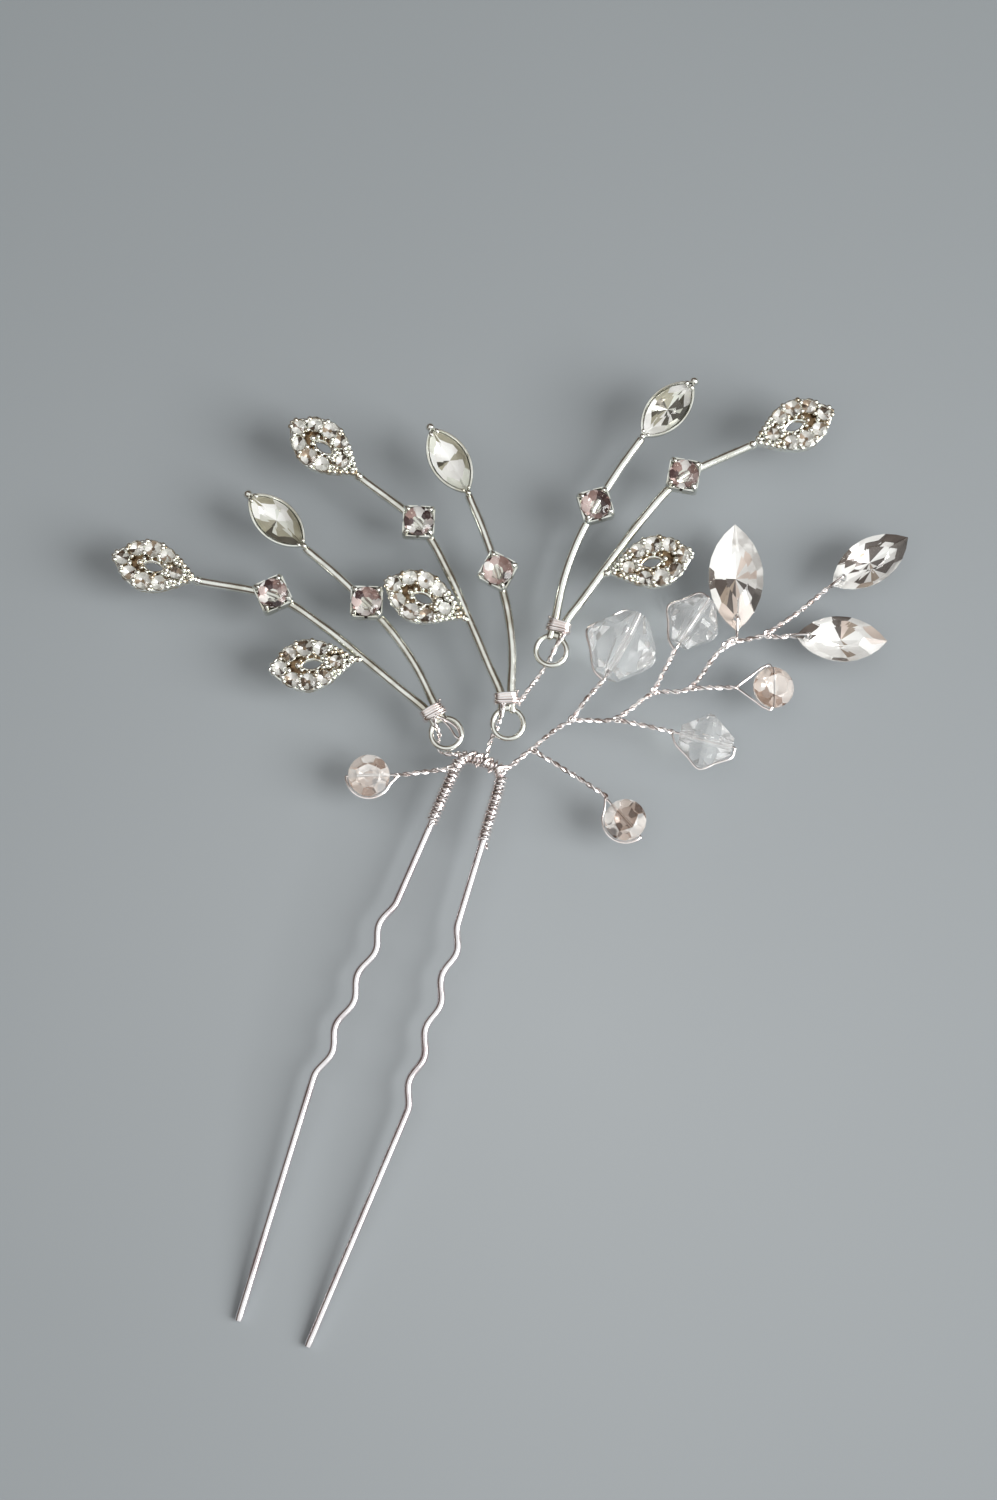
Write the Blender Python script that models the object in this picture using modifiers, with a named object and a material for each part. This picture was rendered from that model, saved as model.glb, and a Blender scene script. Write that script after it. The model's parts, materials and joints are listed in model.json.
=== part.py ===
"""A bridal hair pin: a crinkled two-leg wire pin whose bound bridge carries three cast
sprigs of set crystals and a hand-twisted spray of wire with crystals, beads and drops.

The pin lies flat with +Z up, +Y runs along it from the leg tips to the bridge, and the
origin is on the surface it rests on, under the middle of the whole piece. Everything is
laid out from the middle of the bridge, which BRIDGE_AT places. Lengths are given in
millimetres, and MM turns them into the scene's metres.
"""

import math

import bmesh
import bpy
from mathutils import Matrix, Vector

MM = 0.001
WELD = 1e-7

# Where the middle of the bridge is, from the middle of the whole piece.
BRIDGE_AT = (4.614, 7.163)

# The pin: one wire bent into two legs.
PIN_WIRE_R = 0.42
BRIDGE_HALF = 2.5
BRIDGE_Z = 4.0
BRIDGE_BEND_R = 1.2
LEG_LENGTH = 64.8
STRAIGHT_TO = 17.5
SHOULDER_HALF = 3.5
CRINKLES = 3.5
CRINKLE_PITCH = 5.87
CRINKLE_DEPTH = 0.4
CRINKLE_SPREAD = 1.05
TIP_HALF = 3.92

# Binding wire, and the same wire twisted double.
BIND_R = 0.15
BIND_GAP = 0.07
COIL_SLACK = 0.03
TWIST_R = 0.3
LEG_WRAP_FROM = 1.6
LEG_WRAP_LENGTH = 6.4
LEG_WRAP_TURNS = 15
BRIDGE_WRAP_HALF = 1.15
BRIDGE_WRAP_TURNS = 7
BRIDGE_WRAP_SLACK = 0.13
ROD_TIE_FROM_RING = 2.85
ROD_TIE_LENGTH = 1.1
ROD_TIE_TURNS = 3
ROD_TIE_WIDEN = 0.78
RING_TIE_LENGTH = 0.7

# A sprig, measured from its ring's centre with its navette stem along +Y.
RING_R = 1.675
RING_WIRE_R = 0.325
ROD_R = 0.5
SPRIG_Z = 4.6
NAVETTE_ROD = ((0.6, 1.7), (0.6, 3.5), (1.0, 8.0), (0.8, 12.5), (0.0, 16.9), (-1.2, 21.6), (-2.55, 25.7))
LEAF_ROD = ((-0.6, 1.7), (-0.6, 3.5), (-1.7, 6.7), (-3.4, 11.7), (-5.4, 17.3), (-8.3, 23.0), (-14.57, 28.8))
CUP_SIDE = 3.6
CUP_LOW = -0.8
CUP_HIGH = 1.7
CUP_POCKET_R = 1.6
CUP_POCKET_Z = 0.75
CHATON_R = 1.5
CHATON_CROWN = 0.5
SPRIG_NAVETTE = (8.0, 4.0)
NAVETTE_IN = 0.3
NAVETTE_CUP_OVER = (0.7, 0.6)
NAVETTE_CUP_WALL = 0.225
NAVETTE_TIP_R = 0.5
NAVETTE_ROD_GAP = 0.16
LEAF = (9.8, 5.8)
LEAF_EYE = (2.4, 1.1)
LEAF_EYE_Y = 0.1
LEAF_BOTTOM = -0.6
LEAF_TOP = 0.75
LEAF_SEAT_DEPTH = 0.3
LEAF_STONES_AT = (0.37, 0.53, 0.7)
LEAF_END_STONES_AT = (0.84, 0.27)
SIDE_LEAF_CLEAR = 0.74
PAVE_R = 0.9
PAVE_TURN = math.radians(11.0)
WALL = 0.22
GAP = 0.06

# The spray: twist junctions from the bridge outwards, in plan.
SPRAY_Z = 4.3
TRUNK = ((3.0, 0.5), (4.5, 3.1), (7.4, 7.4), (11.8, 9.3), (14.8, 13.4), (18.4, 15.4), (20.4, 20.9), (24.2, 23.8))
BICONE_LARGE_R = 4.0
BICONE_SMALL_R = 3.0
BICONE_END = 0.35
BICONE_HALF_LENGTH = 0.98
BICONE_BELT = 0.5
LARGE_BICONE_Z = 4.0
LARGE_STEM_Z = 5.2
ROUND_R = 2.25
ROUND_HALF_DEPTH = 1.4
BEAD_HOLE_R = 0.45
CRADLE_GAP = 0.35
CRADLE_TO = {BICONE_LARGE_R: 165.0, BICONE_SMALL_R: 155.0, ROUND_R: 155.0}
FORK_ARM_FROM = 145.0
FORK_GAP = 0.62
STEM_CLEAR = 1.35
DROP_LARGE = (12.0, 6.0)
DROP_SMALL = (10.0, 5.0)
DROP_HALF_DEPTH = 1.8
DROP_HOLE_IN = 1.3
DROP_HOLE_R = 0.4
DROP_LOOP_Z = 1.4

# Each sprig: name, its ring's centre, and which side its leaves are on. Then in degrees its heading
# from +Y and its upward pitch, and how far its navette and its end leaf are bent from their rods.
SPRIGS = (
    ("left", (-4.8, 1.5), 1, (51.2, 0.4, -3.0, -5.0)),
    ("middle", (1.15, 4.8), 1, (23.8, 1.5, 7.0, 0.0)),
    ("right", (2.8, 14.1), -1, (3.0, 1.5, -7.0, -3.0)),
)
# A side leaf: the place on its rod that it springs from, from its ring's centre, and its turn
# from the sprig's heading in degrees.
SIDE_LEAVES = {"left": (-3.4, 11.7, 66.0), "middle": (-3.35, 11.6, 60.5), "right": (-2.75, 9.7, 60.0)}

parts = bpy.data.collections.new("decorative_hair_pin")
helpers = bpy.data.collections.new("helpers")


def clear_scene():
    for obj in list(bpy.data.objects):
        bpy.data.objects.remove(obj)


def set_collections():
    scene = bpy.context.scene
    scene.collection.children.link(parts)
    scene.collection.children.link(helpers)
    helpers.hide_render = True
    bridge = bpy.data.objects.new("bridge_middle", None)
    bridge.location = vector(*BRIDGE_AT)
    parts.objects.link(bridge)


def material(name, colour, roughness, metallic=0.0, transmission=0.0):
    made = bpy.data.materials.new(name)
    made.use_nodes = True
    shader = made.node_tree.nodes["Principled BSDF"]
    shader.inputs["Base Color"].default_value = (*colour, 1.0)
    shader.inputs["Roughness"].default_value = roughness
    shader.inputs["Metallic"].default_value = metallic
    shader.inputs["Transmission Weight"].default_value = transmission
    return made


PIN_SILVER = material("pin_silver", (0.78, 0.75, 0.74), 0.22, 1.0)
CAST_SILVER = material("cast_silver", (0.74, 0.73, 0.70), 0.25, 1.0)
BINDING_SILVER = material("binding_wire", (0.85, 0.83, 0.81), 0.2, 1.0)
CLEAR_GLASS = material("clear_glass", (0.97, 0.98, 0.98), 0.02, 0.0, 1.0)
FOILED_CRYSTAL = material("foiled_crystal", (0.86, 0.82, 0.76), 0.05, 0.3)
AMBER_PAVE = material("amber_pave", (0.75, 0.62, 0.5), 0.08, 0.3)


# ---- Placing and joining -------------------------------------------------------------


def vector(x, y, z=0.0):
    return Vector((x, y, z)) * MM


def helper(obj):
    for owner in list(obj.users_collection):
        owner.objects.unlink(obj)
    helpers.objects.link(obj)
    obj.hide_render = True
    obj.display_type = "WIRE"
    return obj


def piece(name, mesh, finish, parent=None, spot=(0.0, 0.0, 0.0), turn=0.0):
    """A named part: its mesh, its material, and its place under a hinge or the bridge."""
    obj = bpy.data.objects.new(name, mesh)
    parts.objects.link(obj)
    mesh.materials.clear()
    mesh.materials.append(finish)
    mesh.shade_smooth()
    mesh.set_sharp_from_angle(angle=math.radians(35))
    obj.parent = parent or bpy.data.objects["bridge_middle"]
    obj.location = vector(*spot)
    obj.rotation_euler = (0.0, 0.0, turn)
    return obj


def baked(obj):
    """The mesh of a helper with its modifiers applied, welded; the helper goes."""
    bpy.context.view_layer.update()
    graph = bpy.context.evaluated_depsgraph_get()
    mesh = bpy.data.meshes.new_from_object(obj.evaluated_get(graph))
    mesh.transform(obj.matrix_world)
    bpy.data.objects.remove(obj)
    work = bmesh.new()
    work.from_mesh(mesh)
    bmesh.ops.remove_doubles(work, verts=work.verts, dist=WELD)
    bmesh.ops.recalc_face_normals(work, faces=work.faces)
    work.to_mesh(mesh)
    work.free()
    return mesh


def solid(mesh):
    """A helper object that holds a mesh, for joining and cutting."""
    return helper(bpy.data.objects.new("helper", mesh))


def combined(base, joined=(), cut=()):
    """One mesh: base joined to every mesh of joined, then cut by every mesh of cut."""
    target = solid(base)
    tools = []
    for operation, meshes in (("UNION", joined), ("DIFFERENCE", cut)):
        for mesh in meshes:
            tools.append(solid(mesh))
            modifier = target.modifiers.new("combine", "BOOLEAN")
            modifier.operation = operation
            modifier.object = tools[-1]
    mesh = baked(target)
    for tool in tools:
        bpy.data.objects.remove(tool)
    return mesh


def moved(mesh, spot=(0.0, 0.0, 0.0), turn=0.0):
    mesh.transform(Matrix.Translation(vector(*spot)) @ Matrix.Rotation(turn, 4, "Z"))
    return mesh


def primitive(operator, **settings):
    operator(**settings)
    return baked(helper(bpy.context.active_object))


def cylinder(radius, low, high, sides=12):
    mesh = primitive(
        bpy.ops.mesh.primitive_cylinder_add,
        vertices=sides,
        radius=radius * MM,
        depth=(high - low) * MM,
    )
    return moved(mesh, (0.0, 0.0, (low + high) / 2))


def box(size, low, high):
    mesh = primitive(bpy.ops.mesh.primitive_cube_add, size=1.0)
    mesh.transform(Matrix.Diagonal((size * MM, size * MM, (high - low) * MM, 1.0)))
    return moved(mesh, (0.0, 0.0, (low + high) / 2))


def ball(radius):
    return primitive(bpy.ops.mesh.primitive_uv_sphere_add, segments=8, ring_count=6, radius=radius * MM)


# ---- Wires ---------------------------------------------------------------------------


def wire(path, radius, sides=8, widths=None):
    """A closed round wire along a path of points. widths scales it point by point."""
    curve = bpy.data.curves.new("wire", "CURVE")
    curve.dimensions = "3D"
    curve.bevel_depth = radius * MM
    curve.bevel_resolution = (sides - 4) // 2
    curve.use_fill_caps = True
    spline = curve.splines.new("POLY")
    spline.points.add(len(path) - 1)
    for index, point in enumerate(path):
        spline.points[index].co = (*(Vector(point) * MM), 1.0)
        if widths:
            spline.points[index].radius = widths[index]
    return baked(helper(bpy.data.objects.new("wire", curve)))


def smooth(points, steps):
    """A Catmull-Rom curve through points, with steps pieces between each pair."""
    path = [Vector((*p, 0.0)) if len(p) == 2 else Vector(p) for p in points]
    ends = [2 * path[0] - path[1], *path, 2 * path[-1] - path[-2]]
    made = [path[0]]
    for a, b, c, d in zip(ends, ends[1:], ends[2:], ends[3:]):
        for step in range(1, steps + 1):
            t = step / steps
            made.append(
                0.5 * (2 * b + (c - a) * t + (2 * a - 5 * b + 4 * c - d) * t**2 + (3 * b - a - 3 * c + d) * t**3)
            )
    return made


def coil(centre, axis, radius, length, turns, sides=10, squash=(1.0, 1.0)):
    """Points of a helix about an axis through centre. squash widens its two sides."""
    axis = Vector(axis).normalized()
    across = axis.cross(Vector((0.0, 0.0, 1.0)))
    if across.length < 0.5:
        across = axis.cross(Vector((0.0, 1.0, 0.0)))
    across.normalize()
    over = across.cross(axis)
    points = []
    for step in range(turns * sides + 1):
        angle = 2 * math.pi * step / sides
        along = length * (step / (turns * sides) - 0.5)
        points.append(
            Vector(centre)
            + axis * along
            + across * (radius * squash[0] * math.cos(angle))
            + over * (radius * squash[1] * math.sin(angle))
        )
    return points


# ---- Pointed ovals and stones --------------------------------------------------------


def pointed_oval(length, width, segments=6):
    """A lens outline along Y, from two arcs that meet at a point at each end."""
    arc_r = (length**2 + width**2) / (4 * width)
    half_angle = math.asin(length / 2 / arc_r)
    right = []
    for step in range(segments):
        angle = half_angle * (2 * step / segments - 1)
        right.append((arc_r * math.cos(angle) - arc_r + width / 2, arc_r * math.sin(angle)))
    return right + [(-x, -y) for x, y in right]


def leaf_half(t):
    """Half the leaf's width, at t from its slim base to its point."""
    return LEAF[1] / 2 * math.sin(math.pi * t**1.2) ** 0.9


def leaf_outline(inset=0.0, segments=9):
    """The leaf's outline, with its edge drawn in by inset."""
    length = LEAF[0]
    right = []
    for step in range(segments + 1):
        t = step / segments
        y = (t - 0.5) * length * (1 - 2.4 * inset / length)
        right.append((max(0.0, leaf_half(t) - inset if 0 < step < segments else 0.0), y))
    return right + [(-x, y) for x, y in right[-2:0:-1]]


def circle(radius, sides=8):
    return [
        (radius * math.cos(2 * math.pi * (k + 0.5) / sides), radius * math.sin(2 * math.pi * (k + 0.5) / sides))
        for k in range(sides)
    ]


def stack(outline, levels):
    """A loft of one outline through (scale, height) levels, closed at both ends."""
    work = bmesh.new()
    rows = [[work.verts.new(vector(x * scale, y * scale, z)) for x, y in outline] for scale, z in levels]
    for low, high in zip(rows, rows[1:]):
        for k in range(len(outline)):
            n = (k + 1) % len(outline)
            work.faces.new((low[k], low[n], high[n], high[k]))
    work.faces.new(rows[0])
    work.faces.new(rows[-1])
    bmesh.ops.recalc_face_normals(work, faces=work.faces)
    mesh = bpy.data.meshes.new("stack")
    work.to_mesh(mesh)
    work.free()
    return mesh


def plate(outline, hole, low, high):
    """A flat plate of an outline with one hole in it."""
    curve = bpy.data.curves.new("plate", "CURVE")
    curve.dimensions = "2D"
    curve.fill_mode = "BOTH"
    curve.extrude = (high - low) / 2 * MM
    for points in (outline, hole):
        spline = curve.splines.new("POLY")
        spline.points.add(len(points) - 1)
        spline.use_cyclic_u = True
        for index, (x, y) in enumerate(points):
            spline.points[index].co = (x * MM, y * MM, 0.0, 1.0)
    mesh = baked(helper(bpy.data.objects.new("plate", curve)))
    return moved(mesh, (0.0, 0.0, (low + high) / 2))


def turned(profile, steps):
    """A closed shape turned about Y from a profile of (radius, place along Y) points."""
    work = bmesh.new()
    points = [work.verts.new(vector(r, 0.0, y)) for r, y in profile]
    for k, point in enumerate(points):
        work.edges.new((point, points[(k + 1) % len(points)]))
    mesh = bpy.data.meshes.new("profile")
    work.to_mesh(mesh)
    work.free()
    obj = solid(mesh)
    screw = obj.modifiers.new("turn", "SCREW")
    screw.steps = steps
    screw.render_steps = steps
    screw.merge_threshold = WELD
    made = baked(obj)
    made.transform(Matrix.Rotation(math.radians(-90), 4, "X"))
    return made


# ---- The pin and its binding ---------------------------------------------------------


def leg_half(y):
    """How far a leg is from the middle of the pin at a distance y below the bridge."""
    crinkled = CRINKLES * CRINKLE_PITCH
    if y < STRAIGHT_TO:
        return BRIDGE_HALF + (SHOULDER_HALF - BRIDGE_HALF) * y / STRAIGHT_TO
    if y < STRAIGHT_TO + crinkled:
        past = y - STRAIGHT_TO
        wave = CRINKLE_DEPTH * (1 - math.cos(2 * math.pi * past / CRINKLE_PITCH))
        return SHOULDER_HALF + wave + CRINKLE_SPREAD * past / crinkled
    widest = SHOULDER_HALF + CRINKLE_SPREAD + 2 * CRINKLE_DEPTH
    along = (y - STRAIGHT_TO - crinkled) / (LEG_LENGTH - STRAIGHT_TO - crinkled)
    return widest + (TIP_HALF - widest) * along


def leg_height(y):
    """Wire centre's height: level under the ornament, then down to touch at the tip."""
    along = y / LEG_LENGTH
    return BRIDGE_Z + (PIN_WIRE_R + 0.02 - BRIDGE_Z) * along**2


def leg_path(side):
    steps = round(CRINKLES * 6)
    stops = [3.0, 10.0]
    stops += [STRAIGHT_TO + CRINKLE_PITCH * k / 6 for k in range(steps + 1)]
    stops += [46.0, 55.0, LEG_LENGTH]
    return [Vector((side * leg_half(y), -y, leg_height(y))) for y in stops]


def bridge_path():
    """The bend between the legs, from left to right."""
    points = []
    for side in (-1, 1):
        middle = side * (BRIDGE_HALF - BRIDGE_BEND_R)
        arc = []
        for step in range(5):
            angle = math.pi / 2 * step / 4
            x = middle + side * BRIDGE_BEND_R * math.cos(angle)
            arc.append(Vector((x, BRIDGE_BEND_R * (math.sin(angle) - 1), BRIDGE_Z)))
        points += arc if side < 0 else arc[::-1]
    return points


def add_pin():
    path = leg_path(-1)[::-1] + bridge_path() + leg_path(1)
    piece("pin_fork", wire(path, PIN_WIRE_R), PIN_SILVER)
    turn_r = PIN_WIRE_R + BIND_GAP + BIND_R + COIL_SLACK
    middle_y = LEG_WRAP_FROM + LEG_WRAP_LENGTH / 2
    for name, side in (("left", -1), ("right", 1)):
        centre = Vector((side * leg_half(middle_y), -middle_y, leg_height(middle_y)))
        low = Vector((side * leg_half(middle_y + 1), -middle_y - 1, leg_height(middle_y + 1)))
        path = coil(centre, centre - low, turn_r, LEG_WRAP_LENGTH, LEG_WRAP_TURNS, 8)
        piece(name + "_leg_wrap", wire(path, BIND_R, 4), BINDING_SILVER)
    turn_r = PIN_WIRE_R + BIND_GAP + BIND_R + BRIDGE_WRAP_SLACK
    path = coil((0.0, 0.0, BRIDGE_Z), (1, 0, 0), turn_r, 2 * BRIDGE_WRAP_HALF, BRIDGE_WRAP_TURNS)
    piece("bridge_wrap", wire(path, BIND_R, 4), BINDING_SILVER)


# ---- A sprig -------------------------------------------------------------------------


def flat(points, side):
    return [(x * side, y, 0.0) for x, y in points]


def heading(a, b):
    """The turn about Z that takes +Y to the way from a to b."""
    return math.atan2(a[0] - b[0], b[1] - a[1])


def sprig_cups(side):
    """Place and turn of the two square cups, one on each rod, corner on to it."""
    cups = []
    for rod, index in ((NAVETTE_ROD, 4), (LEAF_ROD, 5)):
        before, spot, after = flat(rod, side)[index - 1 : index + 2]
        cups.append((spot, heading(before, after) + math.radians(45)))
    return cups


def sprig_frame(side):
    """The ring, its two rods and their square cups, cast in one."""
    ring = primitive(
        bpy.ops.mesh.primitive_torus_add,
        major_segments=20,
        minor_segments=8,
        major_radius=RING_R * MM,
        minor_radius=RING_WIRE_R * MM,
    )
    rods = [wire(smooth(flat(rod, side), 2), ROD_R) for rod in (NAVETTE_ROD, LEAF_ROD)]
    cups = [moved(box(CUP_SIDE, CUP_LOW, CUP_HIGH), spot, turn) for spot, turn in sprig_cups(side)]
    pockets = [moved(cylinder(CUP_POCKET_R, CUP_POCKET_Z, CUP_HIGH + 1), spot) for spot, _ in sprig_cups(side)]
    mesh = combined(ring, joined=rods + cups, cut=pockets)
    return moved(mesh, (0.0, RING_R, 0.0))


def chaton():
    """A round cut stone: point down, table up."""
    low, top = CUP_POCKET_Z + 0.05, CUP_HIGH + CHATON_CROWN
    return stack(circle(CHATON_R), ((0.3, low), (1.0, CUP_HIGH - 0.1), (1.0, CUP_HIGH), (0.6, top)))


def navette_cup():
    """A thin pointed cup round the navette, with a small ball at its outer point."""
    outline = pointed_oval(*(size + over for size, over in zip(SPRIG_NAVETTE, NAVETTE_CUP_OVER)))
    inner = 1 - 2 * NAVETTE_CUP_WALL / SPRIG_NAVETTE[1]
    cup = stack(outline, ((0.75, -0.75), (1.0, 0.3), (1.0, 0.9), (inner, 0.9), (inner, 0.35), (0.66, -0.3)))
    tip_y = (SPRIG_NAVETTE[0] + NAVETTE_CUP_OVER[0] + NAVETTE_TIP_R) / 2
    tip = moved(ball(NAVETTE_TIP_R), (0.0, tip_y, 0.3))
    return combined(cup, joined=[tip])


def navette(length, width):
    outline = pointed_oval(length - NAVETTE_IN, width - NAVETTE_IN)
    return stack(outline, ((0.55, -0.2), (0.86, 0.45), (0.9, 1.0), (0.9, 1.15), (0.5, 1.8)))


def leaf_stone_spots():
    """Pave seats round the leaf's eye: three a side, one at the point, one at the base."""
    length = LEAF[0]
    clear = WALL + GAP + PAVE_R + 0.12
    spots = [(0.0, (t - 0.5) * length) for t in LEAF_END_STONES_AT]
    for t in LEAF_STONES_AT:
        spots += [(side * (leaf_half(t) - clear), (t - 0.5) * length) for side in (-1, 1)]
    return spots


def leaf_eye():
    return [(x, y + LEAF_EYE_Y) for x, y in pointed_oval(*LEAF_EYE, 4)]


def leaf_frame():
    """A pointed leaf, pierced by a slim eye, with a shallow rim up its edge."""
    body = plate(leaf_outline(), leaf_eye(), LEAF_BOTTOM, LEAF_TOP)
    seat = stack(leaf_outline(WALL), ((1.0, LEAF_TOP - LEAF_SEAT_DEPTH), (1.0, LEAF_TOP + 1.0)))
    return combined(body, cut=[seat])


def leaf_pave():
    """The leaf's stones and the bead-set floor between them, in one bed."""
    low = LEAF_TOP - LEAF_SEAT_DEPTH + GAP
    bed = plate(leaf_outline(WALL + GAP), leaf_eye(), low, low + 0.3)
    stones = []
    for spot in leaf_stone_spots():
        gem = stack(circle(PAVE_R, 6), ((0.8, low + 0.1), (1.0, low + 0.4), (0.55, low + 0.8)))
        stones.append(moved(gem, spot, PAVE_TURN))
    return combined(bed, joined=stones)


def rod_tie(side):
    """Binding wire round both rods, close above the ring."""
    turn_r = ROD_R + BIND_GAP + BIND_R + COIL_SLACK
    centre = (0.0, RING_R + ROD_TIE_FROM_RING, 0.0)
    widen = 1 + ROD_TIE_WIDEN / turn_r
    path = coil(centre, (0, 1, 0), turn_r, ROD_TIE_LENGTH, ROD_TIE_TURNS, 12, (widen, 1.0))
    return wire([(side * p.x, p.y, p.z) for p in path], BIND_R, 4)


def add_sprig(name, centre, side, angles, shared):
    """One sprig on an empty that sits on the near side of its ring, the axis it swings about."""
    turn, pitch, navette_bend, leaf_bend = (math.radians(angle) for angle in angles)
    hinge = bpy.data.objects.new(name + "_sprig_hinge", None)
    parts.objects.link(hinge)
    hinge.parent = bpy.data.objects["bridge_middle"]
    back = Vector((math.sin(turn), -math.cos(turn))) * RING_R
    hinge.location = vector(centre[0] + back.x, centre[1] + back.y, SPRIG_Z)
    hinge.rotation_euler = (pitch, 0.0, turn)
    piece(name + "_sprig_frame", sprig_frame(side), CAST_SILVER, hinge)
    piece(name + "_rod_tie", rod_tie(side), BINDING_SILVER, hinge)
    for label, (spot, _) in zip(("navette_rod", "leaf_rod"), sprig_cups(side)):
        seat = (spot[0], spot[1] + RING_R, 0.0)
        piece(f"{name}_{label}_chaton", shared["chaton"], CLEAR_GLASS, hinge, seat)
    add_sprig_navette(name, side, navette_bend, hinge, shared)
    add_sprig_leaves(name, side, leaf_bend, hinge, shared)
    return hinge


def add_sprig_navette(name, side, bend, hinge, shared):
    last, end = flat(NAVETTE_ROD, side)[-2:]
    turn = heading(last, end) + bend
    reach = (SPRIG_NAVETTE[0] + NAVETTE_CUP_OVER[0]) / 2 + NAVETTE_ROD_GAP
    spot = (end[0] - reach * math.sin(turn), end[1] + RING_R + reach * math.cos(turn), 0.0)
    piece(name + "_navette_cup", shared["navette_cup"], CAST_SILVER, hinge, spot, turn)
    piece(name + "_navette", shared["navette"], CLEAR_GLASS, hinge, spot, turn)


def add_sprig_leaves(name, side, bend, hinge, shared):
    """The end leaf carries on from its rod, and the side leaf springs from beside it."""
    last, end = flat(LEAF_ROD, side)[-2:]
    x, y, side_degrees = SIDE_LEAVES[name]
    end_turn = heading(last, end) + bend
    side_turn = side * math.radians(side_degrees)
    leaves = (("end", end, end_turn, GAP), ("side", (x * side, y), side_turn, SIDE_LEAF_CLEAR))
    for label, root, turn, clear in leaves:
        reach = LEAF[0] / 2 + clear
        spot = (root[0] - reach * math.sin(turn), root[1] + RING_R + reach * math.cos(turn), 0.0)
        piece(f"{name}_{label}_leaf", shared["leaf_frame"], CAST_SILVER, hinge, spot, turn)
        piece(f"{name}_{label}_leaf_pave", shared["leaf_pave"], AMBER_PAVE, hinge, spot, turn)


def add_sprigs():
    shared = {
        "chaton": chaton(),
        "navette_cup": navette_cup(),
        "navette": navette(*SPRIG_NAVETTE),
        "leaf_frame": leaf_frame(),
        "leaf_pave": leaf_pave(),
    }
    hinges = {name: add_sprig(name, centre, side, angles, shared) for name, centre, side, angles in SPRIGS}
    add_ring_ties(hinges)


def add_ring_ties(hinges):
    """Wires that loop once round each ring, where it swings. The left and middle ones come from
    the bridge, and the right one from the middle sprig's neck.
    """
    starts = {
        "left": [(-1.9, 1.0, 3.9), (-2.7, 0.7, 3.75)],
        "middle": [(0.9, 1.25, 4.1), (1.4, 2.1, 3.8)],
        "right": [(1.87, 8.2, 4.65), (2.25, 10.2, 4.3)],
    }
    loop_r = RING_WIRE_R + BIND_GAP + BIND_R + COIL_SLACK
    for name, _, _, angles in SPRIGS:
        turn = math.radians(angles[0])
        across = Vector((math.cos(turn), math.sin(turn), 0.0))
        centre = hinges[name].location / MM
        loop = coil(centre, across, loop_r, RING_TIE_LENGTH, 2, 12)[::-1]
        low = min(range(12), key=lambda k: loop[k].z)
        loop = loop[low : low + 13]
        path = smooth(starts[name] + [tuple(loop[0])], 2)[:-1] + loop
        piece(name + "_ring_tie", wire(path, BIND_R, 6), BINDING_SILVER)


# ---- The spray -----------------------------------------------------------------------


def level(point, z=SPRAY_Z):
    return Vector((point[0], point[1], z))


def stem_start(root, after):
    """Where a branch leaves the trunk: just clear of it."""
    way = (after - root).normalized()
    return root + way * STEM_CLEAR


def cradle(centre, way, side, bead_r, start, stop):
    """An arc of wire round a bead, between two angles from the way the stem points."""
    steps = max(4, round(abs(stop - start) / 15))
    radius = bead_r + CRADLE_GAP
    across = Vector((-way.y, way.x, 0.0)).normalized() * side
    angles = [math.radians(start + (stop - start) * step / steps) for step in range(steps + 1)]
    return [centre + (way * math.cos(angle) + across * math.sin(angle)) * radius for angle in angles]


def threaded_stem(name, root, stem_end, centre, bead_r, side):
    """A twist from the trunk whose wire runs through a bead and back round one side of it."""
    way = (centre - stem_end).normalized()
    entry = centre - way * (bead_r + CRADLE_GAP + 0.35)
    out = centre + way * (bead_r + CRADLE_GAP)
    twist = [stem_start(root, stem_end), entry - way * 0.15]
    if (stem_end - entry).dot(way) < -0.6:
        twist.insert(1, stem_end)
    back = cradle(centre, way, side, bead_r, 8, CRADLE_TO[bead_r])
    path = twist + [entry, centre - way * bead_r * 0.5, centre + way * bead_r * 0.5, out] + back
    thin = BIND_R / TWIST_R
    widths = [1.0] * len(twist) + [thin] * (len(path) - len(twist))
    piece(name, wire(path, TWIST_R, 6, widths), BINDING_SILVER)
    return way


def forked_stem(name, root, stem_end, centre, bead_r):
    """A twist that opens into a fork, with the wire between its points through a bead."""
    way = (centre - stem_end).normalized()
    across = Matrix.Rotation(math.radians(90), 3, "Z") @ way
    twist = [stem_start(root, stem_end), stem_end - way * 0.2]
    up = cradle(centre, way, 1, bead_r, FORK_ARM_FROM, 90)
    down = cradle(centre, way, -1, bead_r, 90, FORK_ARM_FROM)
    path = twist + up + [centre, *down]
    path.append(stem_end + way * 0.25 - across * FORK_GAP)
    thin = BIND_R / TWIST_R
    widths = [1.0] * len(twist) + [thin] * (len(path) - len(twist))
    piece(name, wire(path, TWIST_R, 6, widths), BINDING_SILVER)
    return across


def bicone(bead_r):
    end_r = bead_r * BICONE_END
    half = bead_r * BICONE_HALF_LENGTH
    belt = BICONE_BELT / 2
    profile = [(BEAD_HOLE_R, half), (end_r, half), (bead_r, belt)]
    profile += [(r, -y) for r, y in profile[::-1]]
    return turned(profile, 12)


def round_bead():
    """A round cut stone drilled edge to edge, with the hole along Y."""
    depth = ROUND_HALF_DEPTH
    outline = circle(ROUND_R, 12)
    stone = stack(outline, ((0.25, -depth), (0.97, -0.25), (0.97, 0.25), (0.62, depth)))
    drill = cylinder(BEAD_HOLE_R, -ROUND_R - 1, ROUND_R + 1, 8)
    drill.transform(Matrix.Rotation(math.radians(90), 4, "X"))
    return combined(stone, cut=[drill])


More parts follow.
